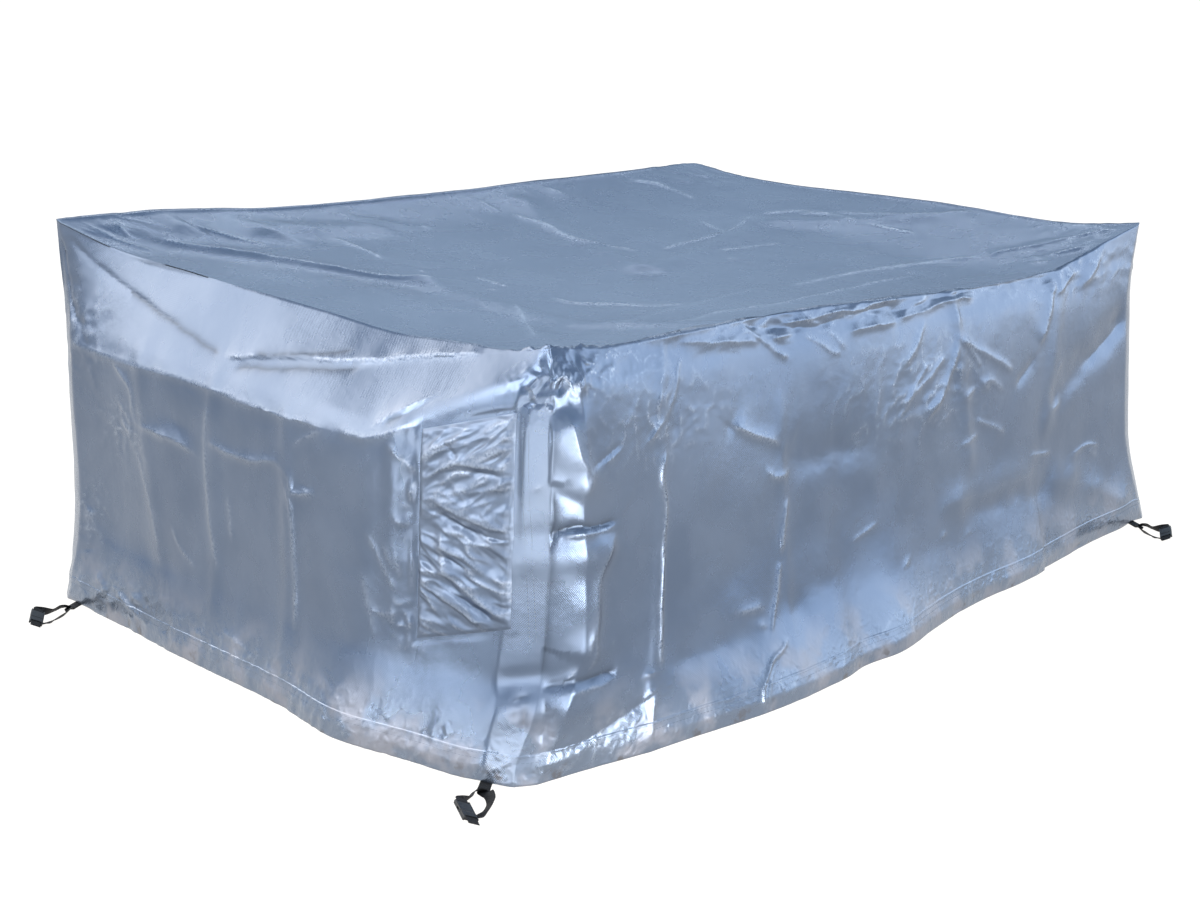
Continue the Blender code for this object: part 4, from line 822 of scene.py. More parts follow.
# Seeds of the noises
WAVE_SEED = 10
WAVER_SEEDS = (40, 50)
SWELL_SEED = 60
PUCKER_SEED = 70
ZONE_SEED = 100


def noise(points, size, seed):
    """Smooth noise of about -1 to 1, that varies over size in space."""
    spot = points / size + seed * 7.31
    cell = np.floor(spot).astype(np.int64)
    part = spot - cell
    ease = part**3 * (part * (part * 6 - 15) + 10)
    total = np.zeros(len(points))
    for corner in itertools.product((0, 1), repeat=3):
        at = cell + corner
        code = (at[:, 0] * 73856093) ^ (at[:, 1] * 19349663) ^ (at[:, 2] * 83492791) ^ (seed * 2654435)
        code = ((code & 0x7FFFFFFF) * 48271) % 0x7FFFFFFF
        code = ((code ^ (code >> 15)) * 40503) % 0x7FFFFFFF
        turn = (code & 1023) * (2 * math.pi / 1024)
        lean = ((code >> 10) & 1023) / 511.5 - 1
        flat = np.sqrt(1 - lean**2)
        way = np.stack([flat * np.cos(turn), flat * np.sin(turn), lean], axis=1)
        weight = np.prod(np.where(corner, ease, 1 - ease), axis=1)
        total += weight * np.einsum("ij,ij->i", way, part - corner)
    return total * 1.7


def crumples(points, size, seed):
    """Crumpled relief of about -1 to 1: sharp crests that meet at odd angles."""
    shape = 1 - 2.4 * np.abs(noise(points, size, seed))
    return shape + 0.45 * (1 - 2.4 * np.abs(noise(points, size * 0.47, seed + 1)))


def stretched(points, zone):
    """The points, squeezed along the slant of a zone's folds, so that its crumples come out longer."""
    first, second = PLANES[zone["panel"]]
    slant = math.radians(zone["slant_deg"])
    way = np.zeros(3)
    way[first], way[second] = math.cos(slant), math.sin(slant)
    along = points @ way
    return points - np.outer(along * (1 - 1 / zone["longer"]), way)


def curve(places):
    """A smooth line through the places, as points about CURVE_STEP apart."""
    places = np.array(places)
    walked = summed(np.hypot(*np.diff(places, axis=0).T))
    at = np.linspace(0, walked[-1], max(2, math.ceil(walked[-1] / CURVE_STEP) + 1))
    return np.stack([glide(at, walked, places[:, 0]), glide(at, walked, places[:, 1])], axis=1)


def from_line(spots, line):
    """Each spot's distance and offset from the line, the line's run there, and the way to its nearer end."""
    best = np.full(len(spots), np.inf)
    offset = np.zeros_like(spots)
    run_at = np.zeros_like(spots)
    end_way = np.zeros(len(spots))
    lengths = np.hypot(*np.diff(line, axis=0).T)
    walked = summed(lengths)
    for index, length in enumerate(lengths):
        start, run = line[index], (line[index + 1] - line[index]) / length
        along = np.clip((spots - start) @ run, 0, length)
        away = spots - start - along[:, None] * run
        distance = np.hypot(away[:, 0], away[:, 1])
        nearer = distance < best
        best = np.where(nearer, distance, best)
        offset[nearer] = away[nearer]
        run_at[nearer] = run
        from_start = walked[index] + along
        end_way = np.where(nearer, np.minimum(from_start, walked[-1] - from_start), end_way)
    return best, offset, run_at, end_way


class Crease:
    """One row of the table of creases."""

    def __init__(self, panel, row):
        named = dict(zip(CREASE, row))
        kind = dict(zip(KIND, KINDS[named["kind"]]))
        self.panel = panel
        self.height = kind["height"] * named["share"]
        self.fore, self.aft = kind["fore"], kind["aft"]
        self.sharp, self.taper, self.wear_and_painted_light = kind["sharp"], kind["taper"], kind["wear_and_painted_light"]
        self.line = curve(named["places"])
        self.reach = CREASE_REACH * max(self.fore, self.aft)

    def near(self, spots):
        """Indices of the spots that it can touch."""
        low, high = self.line.min(axis=0) - self.reach, self.line.max(axis=0) + self.reach
        return np.flatnonzero(np.all((spots > low) & (spots < high), axis=1))

    def relief(self, spots):
        """Height, and wear with its painted glint and painted shade, at the spots."""
        distance, offset, run, end_way = from_line(spots, self.line)
        fore_side = np.array(FORE_SIDE[self.panel])
        left = np.stack([-run[:, 1], run[:, 0]], axis=1)
        left *= np.sign(left @ fore_side)[:, None]
        width = np.where(np.einsum("ij,ij->i", offset, left) > 0, self.fore, self.aft)
        profile = self.sharp * np.exp(-distance / width) + (1 - self.sharp) * bump(distance, width)
        end = smooth(end_way / self.taper) if self.sharp > 0.5 else smooth(end_way / self.taper + 0.2)
        ends = np.maximum(end, LEAST_END)
        # the crest's wear is also a painted glint; below 0 it is a slit's painted shade
        return self.height * profile * ends, self.wear_and_painted_light * np.exp(-distance / WEAR_AND_PAINT_REACH) * end


def wavering(spots):
    """The spots, shifted by the small wavering of the crease lines."""
    flat = np.column_stack([spots, np.zeros(len(spots))])
    shifted = spots.copy()
    for seed, (size, far) in enumerate(WAVER):
        for axis, first_seed in enumerate(WAVER_SEEDS):
            shifted[:, axis] += far * noise(flat, size, first_seed + seed)
    return shifted


def crease_relief(panel, points):
    """Height, and wear with painted glints and painted shade, at points of a panel, from its creases and its
    crumpled zones.
    """
    spots = points[:, PLANES[panel]]
    wavered = wavering(spots)
    height, wear_and_painted_light = np.zeros(len(points)), np.zeros(len(points))
    swell = 1 + SWELL_SHARE * noise(points, SWELL_SIZE, SWELL_SEED)
    for crease in CREASE_LINES[panel]:
        near = crease.near(spots)
        rise, worn_and_painted = crease.relief(wavered[near])
        height[near] += rise * swell[near]
        # the top's crest lines are lightened more than the walls', as painted glints
        worn_and_painted = worn_and_painted * (TOP_WEAR_AND_PAINTED_LIGHT if panel == "top" else 1.0)
        wear_and_painted_light[near] = np.where(np.abs(worn_and_painted) > np.abs(wear_and_painted_light[near]), worn_and_painted, wear_and_painted_light[near])
    for seed, row in enumerate(ZONES):
        zone = dict(zip(ZONE, row))
        if zone["panel"] == panel:
            far = (spots - zone["middle"]) / zone["reach"]
            mask = np.exp(-(far**2).sum(axis=1))
            near = np.flatnonzero(mask > ZONE_LEAST)
            crumpled = crumples(stretched(points[near], zone), zone["size"], ZONE_SEED + seed)
            height[near] += zone["height"] * mask[near] * 0.5 * crumpled
            # the crumples' highest crests are whitened, partly as wear and partly as painted glints
            worn_and_painted = np.clip(crumpled - ZONE_WEAR_AND_GLINT_ABOVE, 0, 1)
            wear_and_painted_light[near] = np.maximum(wear_and_painted_light[near], 0.5 * mask[near] * worn_and_painted)
    return height, wear_and_painted_light


CREASE_LINES = {panel: [Crease(panel, row) for row in rows] for panel, rows in CREASES.items()}


# ---- the sheet's mesh ----------------------------------------------------------------------------------

# Spacing of the mesh lines at the near and far end of each side, where they lie closer, and the rows of each
# level of a wall
X_STEPS = (0.0052, 0.0096)
Y_STEPS = (0.0049, 0.0084)
FINE_AT = (-0.93, -0.62, -1.18)
FINE_REACH = 0.060
FINE_GAIN = 1.0
LEVEL_ROWS = (40, 92, 42, 6)
HEM_TURN_ROWS = 5
HEM_TURN_GAP = 0.0022
HEM_TURN_RISE = 0.0008
SNAP_LEAST_TURN = 0.30
SNAP_SHARPNESS = 0.5


def spaced(low, high, steps, fine_at=()):
    """Lines from low to high, spaced from the first step to the second, and closer by some places."""
    at = np.linspace(low, high, 4001)
    density = 1 / np.interp(at, (low, high), steps)
    for place in fine_at:
        density = density * (1 + FINE_GAIN * bump(at - place, FINE_REACH))
    counted = summed((density[1:] + density[:-1]) / 2 * np.diff(at))
    return np.interp(np.linspace(0, counted[-1], round(counted[-1]) + 1), counted, at)


class Sheet:
    """The whole cover as one net of points: grids of its top, its walls and the turned-in hem of each."""

    def __init__(self):
        self.x_lines = spaced(-LENGTH / 2, LENGTH / 2, X_STEPS, FINE_AT)
        self.y_lines = spaced(-WIDTH / 2, WIDTH / 2, Y_STEPS)
        levels = [np.linspace(i, i + 1, rows + 1)[1:] for i, rows in enumerate(LEVEL_ROWS)]
        self.downs = np.concatenate(levels)
        self.points = np.zeros((0, 3))
        self.grids = {}
        self.lay_top()
        for wall in WALLS:
            self.lay_wall(wall)
        self.join_corners()
        self.flats = {name: self.flat_grid(name) for name in self.grids}
        self.panels = list(self.grids)
        self.wear_and_painted_light = np.zeros(len(self.points))
        self.shape_folds()
        for wall in WALLS:
            self.turn_hem(wall)
        self.wear_and_painted_light = np.append(self.wear_and_painted_light, np.zeros(len(self.points) - len(self.wear_and_painted_light)))

    def add(self, points):
        first = len(self.points)
        self.points = np.concatenate([self.points, points.reshape(-1, 3)])
        return first + np.arange(points.size // 3).reshape(points.shape[:-1])

    def lay_top(self):
        self.grids["top"] = self.add(top_points(self.x_lines, self.y_lines))

    def lay_wall(self, wall):
        """A wall's grid [line along it, row down it]. Its first row is the top's rim."""
        top = self.grids["top"]
        rim = {"west": top[0], "east": top[-1], "south": top[:, 0], "north": top[:, -1]}[wall]
        lines = self.y_lines if wall in ("west", "east") else self.x_lines
        points = wall_points(wall, lines[:, None], self.downs[None, :]).reshape(len(lines), -1, 3)
        self.grids[wall] = np.concatenate([rim[:, None], self.add(points)], axis=1)

    def join_corners(self):
        """One point instead of two wherever two walls meet at a corner."""
        same = np.arange(len(self.points))
        for wall, other_end in (("south", 0), ("north", -1)):
            same[self.grids[wall][0]] = self.grids["west"][other_end]
            same[self.grids[wall][-1]] = self.grids["east"][other_end]
        for name, grid in self.grids.items():
            self.grids[name] = same[grid]

    def flat_grid(self, name):
        """Each point's place on a panel's flat cloth, and how far it lies above the hem's edge."""
        points = self.points[self.grids[name]]
        flat = np.zeros_like(points)
        if name == "top":
            flat[..., 0], flat[..., 1] = np.meshgrid(self.x_lines, self.y_lines, indexing="ij")
            flat[..., 2] = 1.0
            return flat
        lines = self.y_lines if name in ("west", "east") else self.x_lines
        lengths = np.linalg.norm(np.diff(points, axis=1), axis=2)
        flat[..., 0] = lines[:, None]
        flat[:, 1:, 1] = np.cumsum(lengths, axis=1)
        flat[..., 2] = flat[:, -1:, 1] - flat[..., 1]
        return flat

    def quads(self, name):
        """Faces of a panel, wound so that they look outwards."""
        faces = grid_quads(self.grids[name])
        return faces if name.split("_")[0] in ("top", "north", "west") else faces[:, ::-1]

    def faces(self):
        return np.concatenate([self.quads(name) for name in self.grids])

    def normals(self):
        return normals_of(self.points, self.faces())

    def shape_folds(self):
        """Draws points onto the sharp crests, then lifts all of them by the waves, creases and crumples."""
        normals = self.normals()
        for panel in self.panels:
            self.draw_to_crests(panel, normals)
        normals = self.normals()
        base = self.points.copy()
        lift = np.zeros(len(base))
        for seed, (size, height) in enumerate(WAVES):
            lift += height * noise(base, size, WAVE_SEED + seed)
        for panel in self.panels:
            used = np.unique(self.grids[panel])
            height, wear_and_painted_light = crease_relief(panel, base[used])
            lift[used] += height
            self.wear_and_painted_light[used] = np.where(np.abs(wear_and_painted_light) > np.abs(self.wear_and_painted_light[used]), wear_and_painted_light, self.wear_and_painted_light[used])
        under = behind_patch(base)
        lift = lift * (1 - under) - 0.0004 * under
        self.wear_and_painted_light *= 1 - under
        self.points = base + lift[:, None] * normals
        low = base[:, 2] < 0.01
        self.points[low, 2] = base[low, 2]

    def draw_to_crests(self, panel, normals):
        """Moves the points nearest a sharp crease onto it, along the sheet, so that its crest is crisp."""
        grid, plane = self.grids[panel], PLANES[panel]
        spots = self.points[grid][..., plane]
        cells = np.stack([np.gradient(spots[..., 0], axis=0), np.gradient(spots[..., 1], axis=1)], axis=-1)
        inner, cells = grid[1:-1, 1:-1].ravel(), np.abs(cells[1:-1, 1:-1]).reshape(-1, 2)
        spots = self.points[inner][:, plane]
        wavered = wavering(spots)
        shift = np.zeros_like(spots)
        for crease in CREASE_LINES[panel]:
            if crease.sharp < SNAP_SHARPNESS:
                continue
            near = crease.near(spots)
            distance, offset, _, end_way = from_line(wavered[near], crease.line)
            way = np.abs(offset) / np.maximum(distance, 1e-9)[:, None]
            reach = 0.5 * np.max(way * cells[near], axis=1)
            take = near[(distance < reach) & (end_way > 0) & (np.abs(shift[near]).sum(axis=1) == 0)]
            shift[take] = -offset[np.searchsorted(near, take)]
        third = 3 - sum(plane)
        lean = normals[inner]
        facing = np.abs(lean[:, third]) > SNAP_LEAST_TURN
        deep = np.where(facing, lean[:, third], 1.0)
        move = np.zeros((len(inner), 3))
        move[:, plane[0]], move[:, plane[1]] = shift.T
        move[:, third] = -(lean[:, plane[0]] * shift[:, 0] + lean[:, plane[1]] * shift[:, 1]) / deep
        self.points[inner] += move * facing[:, None]

    def turn_hem(self, wall):
        """The hem's turned-in layer: it runs back up inside the wall, close behind it."""
        normals = self.normals()
        grid = self.grids[wall]
        layers = [grid[:, -1]]
        for row in range(HEM_TURN_ROWS):
            above = grid[:, -1 - row]
            inside = self.points[above] - HEM_TURN_GAP * normals[above]
            inside[:, 2] = self.points[above][:, 2] + HEM_TURN_RISE * (row == 0)
            layers.append(self.add(inside))
        self.grids[f"{wall}_hem"] = np.stack(layers, axis=1)
        flats = [self.flats[wall][:, -1 - max(row, 0)] for row in range(-1, HEM_TURN_ROWS)]
        self.flats[f"{wall}_hem"] = np.stack(flats, axis=1)


def patch_edges(across):
    """Heights of the patch's lower and upper edge, at shares of the way across it."""
    return [edge[0] + (edge[1] - edge[0]) * across for edge in (PATCH_LOW, PATCH_HIGH)]


def behind_patch(points):
    """1 for the wall behind the patch, where the sheet lies flat under it, and 0 beyond its rim."""
    across = (points[:, 1] - PATCH_ALONG[0]) / (PATCH_ALONG[1] - PATCH_ALONG[0])
    low, high = patch_edges(across)
    rim = FLAT_BEHIND_PATCH
    side = fade(points[:, 1], PATCH_ALONG[0] - rim / 2, PATCH_ALONG[1] + rim / 2, rim)
    height = fade(points[:, 2], low - rim / 2, high + rim / 2, rim)
    return side * height * (points[:, 0] < -1.0)


def grid_quads(grid):
    """Faces between the points of a grid."""
    return np.stack([grid[:-1, :-1], grid[1:, :-1], grid[1:, 1:], grid[:-1, 1:]], axis=-1).reshape(-1, 4)


def normals_of(points, faces):
    """Unit normals of the points, from the faces around each."""
    spots = points[faces]
    across = np.cross(spots[:, 2] - spots[:, 0], spots[:, 3] - spots[:, 1])
    total = np.zeros_like(points)
    for axis in range(3):
        for column in range(4):
            total[:, axis] += np.bincount(faces[:, column], across[:, axis], len(points))
    return total / np.maximum(np.linalg.norm(total, axis=1, keepdims=True), 1e-12)


# ---- the patch -----------------------------------------------------------------------------------------

PATCH_ALONG = (-0.765, -0.545)
PATCH_LOW = (0.305, 0.245)
PATCH_HIGH = (0.735, 0.675)
PATCH_CELLS = (84, 168)
PATCH_GAP = 0.0016
PATCH_RIM_GAP = 0.0005
PATCH_RIM_SHARE = 0.020
PATCH_INNER_SHARE = 0.07
PATCH_RISE = 0.0022
PATCH_PUCKER = (0.012, 0.0050)
PATCH_RISE_LIMIT = 0.0150


def patch_net(sheet):
    """The patch: points on the wall, lifted by its own folds, their places on its flat cloth, and wear with
    painted glints and painted shade.
    """
    faces = sheet.quads("west")
    tree = BVHTree.FromPolygons(sheet.points.tolist(), faces.tolist())
    across, up = np.meshgrid(*(np.linspace(0, 1, cells + 1) for cells in PATCH_CELLS), indexing="ij")
    run = PATCH_ALONG[0] + (PATCH_ALONG[1] - PATCH_ALONG[0]) * across
    low, high = patch_edges(across)
    rise = low + (high - low) * up
    spots, normals = [], []
    for along, height in zip(run.ravel(), rise.ravel()):
        spot, normal, _, _ = tree.ray_cast(Vector((-LENGTH, along, height)), Vector((1, 0, 0)))
        spots.append(spot)
        normals.append(normal)
    spots, normals = np.array(spots), np.array(normals)
    relief, wear_and_painted_light = crease_relief("patch", spots)
    rim = np.minimum(np.minimum(across, 1 - across), np.minimum(up, 1 - up)).ravel()
    inner = smooth(rim / PATCH_INNER_SHARE)
    size, height = PATCH_PUCKER
    puckered = noise(spots * (1, 0.4, 1), size, PUCKER_SEED)
    pucker = height * (0.5 + 0.5 * puckered) * np.exp(-rim / 0.06) * smooth(rim / 0.02)
    gap = PATCH_RIM_GAP + (PATCH_GAP - PATCH_RIM_GAP) * smooth(rim / PATCH_RIM_SHARE)
    lift = gap + np.clip(inner * (PATCH_RISE + relief), 0, PATCH_RISE_LIMIT) + pucker
    points = spots + lift[:, None] * normals
    flat = np.column_stack([run.ravel(), rise.ravel(), np.ones(run.size)])
    grid = np.arange(run.size).reshape(run.shape)
    return points, grid, flat, wear_and_painted_light


# ---- thread --------------------------------------------------------------------------------------------

THREAD = 0.0009
STITCH = ("panel", "pitch", "length", "places")
# Rows of stitching: their panel, the pitch and length of a stitch, and places as for the creases
STITCHES = (
    ("west", 0.0085, 0.0055, (
        (-0.778, 0.735), (-0.780, 0.60), (-0.785, 0.485), (-0.789, 0.40), (-0.796, 0.275),
    )),
    ("west", 0.0085, 0.0055, (
        (-0.789, 0.735), (-0.791, 0.60), (-0.796, 0.485), (-0.800, 0.40), (-0.807, 0.275),
    )),
    ("patch", 0.0080, 0.0050, ((-0.552, 0.672), (-0.552, 0.46), (-0.552, 0.25))),
    ("patch", 0.0080, 0.0050, ((-0.556, 0.250), (-0.65, 0.275), (-0.757, 0.305))),
)
HEM_STITCH_UP = (0.046, 0.057)
HEM_STITCH_PITCH = 0.0095
HEM_STITCH_LENGTH = 0.0062


def stitch_ends(line, pitch, length):
    """Start and end of each stitch along a line of points in space."""
    walked = summed(np.linalg.norm(np.diff(line, axis=0), axis=1))
    starts = np.arange(0, walked[-1] - length, pitch)
    ends = []
    for at in (starts, starts + length):
        ends.append(np.stack([np.interp(at, walked, line[:, axis]) for axis in range(3)], axis=1))
    return ends


def thread_mesh(name, rows):
    """Short stitches, from rows of (starts, ends, normals): each a small ridge with pressed ends."""
    vertices, faces = [], []
    for starts, ends, normals in rows:
        along = ends - starts
        side = np.cross(normals, along)
        side /= np.maximum(np.linalg.norm(side, axis=1, keepdims=True), 1e-9)
        for start, run, across, up in zip(starts, along, side * THREAD / 2, normals * THREAD):
            first = len(vertices)
            for part, rise in ((0.0, 0.0), (0.25, 0.9), (0.75, 0.9), (1.0, 0.0)):
                middle = start + run * part
                crest = up * rise
                vertices += [middle - across, middle - across * 0.5 + crest]
                vertices += [middle + across * 0.5 + crest, middle + across]
            for ring in range(3):
                for column in range(3):
                    at = first + ring * 4 + column
                    faces.append((at, at + 4, at + 5, at + 1))
    mesh = bpy.data.meshes.new(name)
    mesh.from_pydata((np.array(vertices) + OWN_ORIGIN).tolist(), [], faces)
    mesh.shade_smooth()
    return mesh


def add_thread(name, rows, finish):
    """The stitches of the rows as one piece, of the given finish."""
    thread = linked(name, thread_mesh(name, rows))
    thread.data.materials.append(finish)
    join_up(thread, None)


def hem_stitches(sheet, wall, up):
    """A row of stitches at a height above the hem's edge."""
    grid, flat = sheet.grids[wall], sheet.flats[wall]
    normals = sheet.normals()
    above = flat[..., 2]
    row = np.argmax(above < up, axis=1)
    lines = np.arange(len(row))
    high, low = above[lines, row - 1], above[lines, row]
    share = ((high - up) / (high - low))[:, None]
    upper, lower = sheet.points[grid[lines, row - 1]], sheet.points[grid[lines, row]]
    line = upper * (1 - share) + lower * share
    starts, ends = stitch_ends(line, HEM_STITCH_PITCH, HEM_STITCH_LENGTH)
    nearest = np.linalg.norm(line[None, ::4] - starts[:, None], axis=2).argmin(axis=1) * 4
    lean = normals[grid[nearest, row[nearest]]]
    return starts, ends, lean


def surface_stitches(tree, panel, row):
    """Stitches along a listed line, dropped onto the surface from outside."""
    line = curve(row["places"])
    plane = PLANES[panel]
    third = 3 - sum(plane)
    spots, normals = [], []
    for first, second in line:
        start = Vector((0, 0, 0))
        start[plane[0]], start[plane[1]], start[third] = first, second, -LENGTH
        aim = Vector((0, 0, 0))
        aim[third] = 1
        spot, normal, _, _ = tree.ray_cast(start, aim)
        spots.append(spot)
        normals.append(normal)
    spots, normals = np.array(spots), np.array(normals)
    starts, ends = stitch_ends(spots, row["pitch"], row["length"])
    nearest = np.linalg.norm(spots[None] - starts[:, None], axis=2).argmin(axis=1)
    return starts, ends, normals[nearest]


# ---- straps and buckles --------------------------------------------------------------------------------

WEB_WIDTH = 0.025
WEB_THICK = 0.0014
GAP = 0.0003
STUB_INSIDE = 0.024

# A webbing's path, row by row: the place of its centre out from the hem, sideways and up, the way that its
# width lies across (0 is square to the strap's own heading), and its roll, 0 flat and 90 on edge. On the
# legs, which lie on the floor, the third column is only how far the lower edge is lifted off it.
WEB_POINT = ("out", "side", "z", "heading_deg", "roll_deg")
SOCKET_LEG = (
    (-STUB_INSIDE, 0.0000, WEB_THICK + GAP, 0, 0),
    (0.000, 0.0000, WEB_THICK + GAP, 0, 0),
    (0.034, -0.0005, WEB_THICK + GAP, -2, 0),
    (0.044, -0.0050, WEB_THICK + GAP, -10, 18),
    (0.054, -0.0115, WEB_THICK, -16, 36),
    (0.068, -0.0165, 0.0, -14, 46),
    (0.090, -0.0190, 0.0, -6, 42),
    (0.110, -0.0235, 0.0030, -6, 62),
    (0.125, -0.0275, 0.0080, 6, 108),
)
PLUG_LEG = (
    (-STUB_INSIDE, 0.0000, 0.0, 0, 0),
    (0.000, 0.0000, 0.0, 0, 0),
    (0.041, 0.0010, 0.0, 4, 0),
    (0.054, 0.0085, 0.0, 14, 24),
    (0.068, 0.0175, 0.0, 16, 44),
    (0.100, 0.0255, 0.0, 2, 44),
    (0.126, 0.0235, 0.0, -12, 40),
    (0.142, 0.0165, 0.0, -16, 24),
    (0.154, 0.0095, 0.0006, -8, 8),
)
BUCKLE_TURN_DEG = 27.0
BUCKLE_TILT_DEG = 25.0
BUCKLE_PITCH_DEG = 10.0
BUCKLE_MOUTH = (0.170, -0.010)
BUCKLE_WIDTH = 0.033
BUCKLE_HIGH = 0.009
SOCKET_LONG = 0.036
PLUG_LONG = 0.024
BAR_LONG = 0.003
BAR_TURN = 0.0031
BAR_LEAD = 0.009
BAR_SQUARE = 0.66
SLOT_LONG = 0.0046
TAIL_LONG = 0.017

WEB_STEPS = 6
WEB_CELLS = 12
WEB_EDGE_ROUND = 0.55
TACK_ROWS = (0.30, 0.42, 0.54)
TACK_STITCHES = 6


def resting(row):
    """The row of a leg, with its centre's height worked out from how far its lower edge is off the floor."""
    out, side, lift, heading_deg, roll_deg = row
    roll = math.radians(roll_deg)
    height = GAP + lift + abs(math.sin(roll)) * WEB_WIDTH / 2 + abs(math.cos(roll)) * WEB_THICK / 2
    return out, side, height, heading_deg, roll_deg


def buckle_pose():
    """The buckle's place in its strap's frame, with its lowest point on the floor."""
    turn, tilt, pitch = map(math.radians, (BUCKLE_TURN_DEG, BUCKLE_TILT_DEG, BUCKLE_PITCH_DEG))
    low_edge = BUCKLE_WIDTH / 2 * math.sin(tilt) * math.cos(pitch)
    low_end = (PLUG_LONG + TAIL_LONG) * math.sin(pitch)
    spot = Vector((*BUCKLE_MOUTH, GAP + low_edge + low_end))
    return Matrix.Translation(spot) @ Euler((-tilt, pitch, turn)).to_matrix().to_4x4()


def on_buckle(along, up, across=0.0, twist_deg=0.0, turned_over=False):
    """A webbing row at a place on the buckle, its width along the buckle's bars but for the given twist."""
    pose = buckle_pose()
    width = pose.to_3x3() @ Vector((0, 1, 0))
    heading_deg = math.degrees(math.atan2(-width.x, width.y))
    roll_deg = math.degrees(math.asin(width.z)) + twist_deg + 180 * turned_over
    return (*(pose @ Vector((along, across, up))), heading_deg, roll_deg)


def socket_wrap():
    """Webbing round the bar of the socket and back, its end sewn to itself."""
    bar = -SOCKET_LONG + BAR_LONG / 2
    lead = bar - BAR_LEAD
    middle = BUCKLE_HIGH / 2
    rows = [(lead, middle + BAR_TURN)]
    for angle_deg in range(-90, 91, 30):
        across, up = squarish(math.radians(angle_deg))
        rows.append((bar + BAR_TURN * across, middle - BAR_TURN * up))
    rows.append((lead, middle - BAR_TURN))
    return [on_buckle(along, up, turned_over=True) for along, up in rows]


def squarish(angle):
    """A point of the squarish circle that keeps webbing clear of a bar's corners."""
    circle = (math.cos(angle), math.sin(angle))
    return tuple(math.copysign(abs(value) ** BAR_SQUARE, value) for value in circle)


def plug_wrap():
    """Webbing under the plug's low side, up through its slot, over its bar and out as the loose tail."""
    clear = WEB_THICK / 2 + GAP
    bar_inner = PLUG_LONG - BAR_LONG
    slot_inner = bar_inner - SLOT_LONG
    middle = BUCKLE_HIGH / 2
    over = middle + BAR_TURN
    return [
        on_buckle(0.004, -0.0030, 0.012, twist_deg=15),
        on_buckle(slot_inner - 0.004, -clear - 0.0007, 0.0010),
        on_buckle(slot_inner, -clear - 0.0002),
        on_buckle(slot_inner + clear, -0.0004),
        on_buckle(slot_inner + clear + 0.0005, 0.0018),
        on_buckle(bar_inner - 0.0024, middle - 0.0005),
        on_buckle(bar_inner - 0.0016, over - 0.0011),
        on_buckle(bar_inner - 0.0004, over - 0.0001),
        on_buckle(PLUG_LONG, over),
        on_buckle(PLUG_LONG + TAIL_LONG, over),
    ]


def web_frame(rows, place):
    """Centres, width directions and upward directions of a webbing along its path, in space."""
    table = np.array(rows)
    steps = np.linspace(0, len(table) - 1, WEB_STEPS * (len(table) - 1) + 1)
    path = {column: glide(steps, np.arange(len(table)), table[:, i]) for i, column in enumerate(WEB_POINT)}
    heading, roll = np.radians(path["heading_deg"]), np.radians(path["roll_deg"])
    centre = place(path["out"], path["side"], path["z"])
    tip = place(
        path["out"] - np.sin(heading) * np.cos(roll) * WEB_WIDTH,
        path["side"] + np.cos(heading) * np.cos(roll) * WEB_WIDTH,
        path["z"] + np.sin(roll) * WEB_WIDTH,
    )
    width = (tip - centre) / WEB_WIDTH
    run = np.gradient(centre, axis=0)
    up = np.cross(run, width)
    return centre, width, up / np.linalg.norm(up, axis=1, keepdims=True)


def webbing_mesh(name, centre, width, up):
    """A webbing with rounded selvages: rings of points along its path, closed at both ends."""
    across = np.linspace(-0.5, 0.5, WEB_CELLS + 1)
    half = WEB_THICK / 2 * (1 - WEB_EDGE_ROUND * np.abs(2 * across) ** 12)
    ring_across = np.concatenate([across, across[::-1]])
    ring_up = np.concatenate([half, -half[::-1]])
    walked = summed(np.linalg.norm(np.diff(centre, axis=0), axis=1))
    points = (
        centre[:, None]
        + width[:, None] * (ring_across * WEB_WIDTH)[None, :, None]
        + up[:, None] * ring_up[None, :, None]
    )
    rings, around = points.shape[:2]
    faces = []
    for ring in range(rings - 1):
        low, high = ring * around, (ring + 1) * around
        for column in range(around):
            other = (column + 1) % around
            faces.append((low + column, low + other, high + other, high + column))
    faces.append(tuple(range(around))[::-1])
    faces.append(tuple((rings - 1) * around + column for column in range(around)))
    points = points.reshape(-1, 3)
    corners = points[np.array([face[:3] for face in faces])]
    if np.einsum("ij,ij->", corners[:, 0], np.cross(corners[:, 1], corners[:, 2])) < 0:
        faces = [face[::-1] for face in faces]
    mesh = bpy.data.meshes.new(name)
    mesh.from_pydata((points + OWN_ORIGIN).tolist(), [], faces)
    mesh.shade_smooth()
    flat = np.zeros((rings, around, 3))
    flat[..., 0] = ring_across * WEB_WIDTH
    flat[..., 1] = walked[:, None]
    mesh.attributes.new("cloth_place", "FLOAT_VECTOR", "POINT").data.foreach_set("vector", flat.ravel())
    return mesh, walked[-1]


def tacks(centre, width, up, first, last):
    """Rows of stitching across both faces of a webbing, between two of its path's rows."""
    rows = []
    for part in TACK_ROWS:
        at = first + (last - first) * part
        index = int(at * WEB_STEPS)
        for face in (-1, 1):
            middle = centre[index] + up[index] * face * WEB_THICK / 2
            spots = np.linspace(-0.42, 0.42, TACK_STITCHES)
            pitch = (spots[1] - spots[0]) * WEB_WIDTH
            starts = middle + np.outer(spots * WEB_WIDTH - pitch * 0.36, width[index])
            ends = middle + np.outer(spots * WEB_WIDTH + pitch * 0.36, width[index])
            rows.append((starts, ends, np.repeat(up[index][None] * face, len(spots), axis=0)))
    return rows


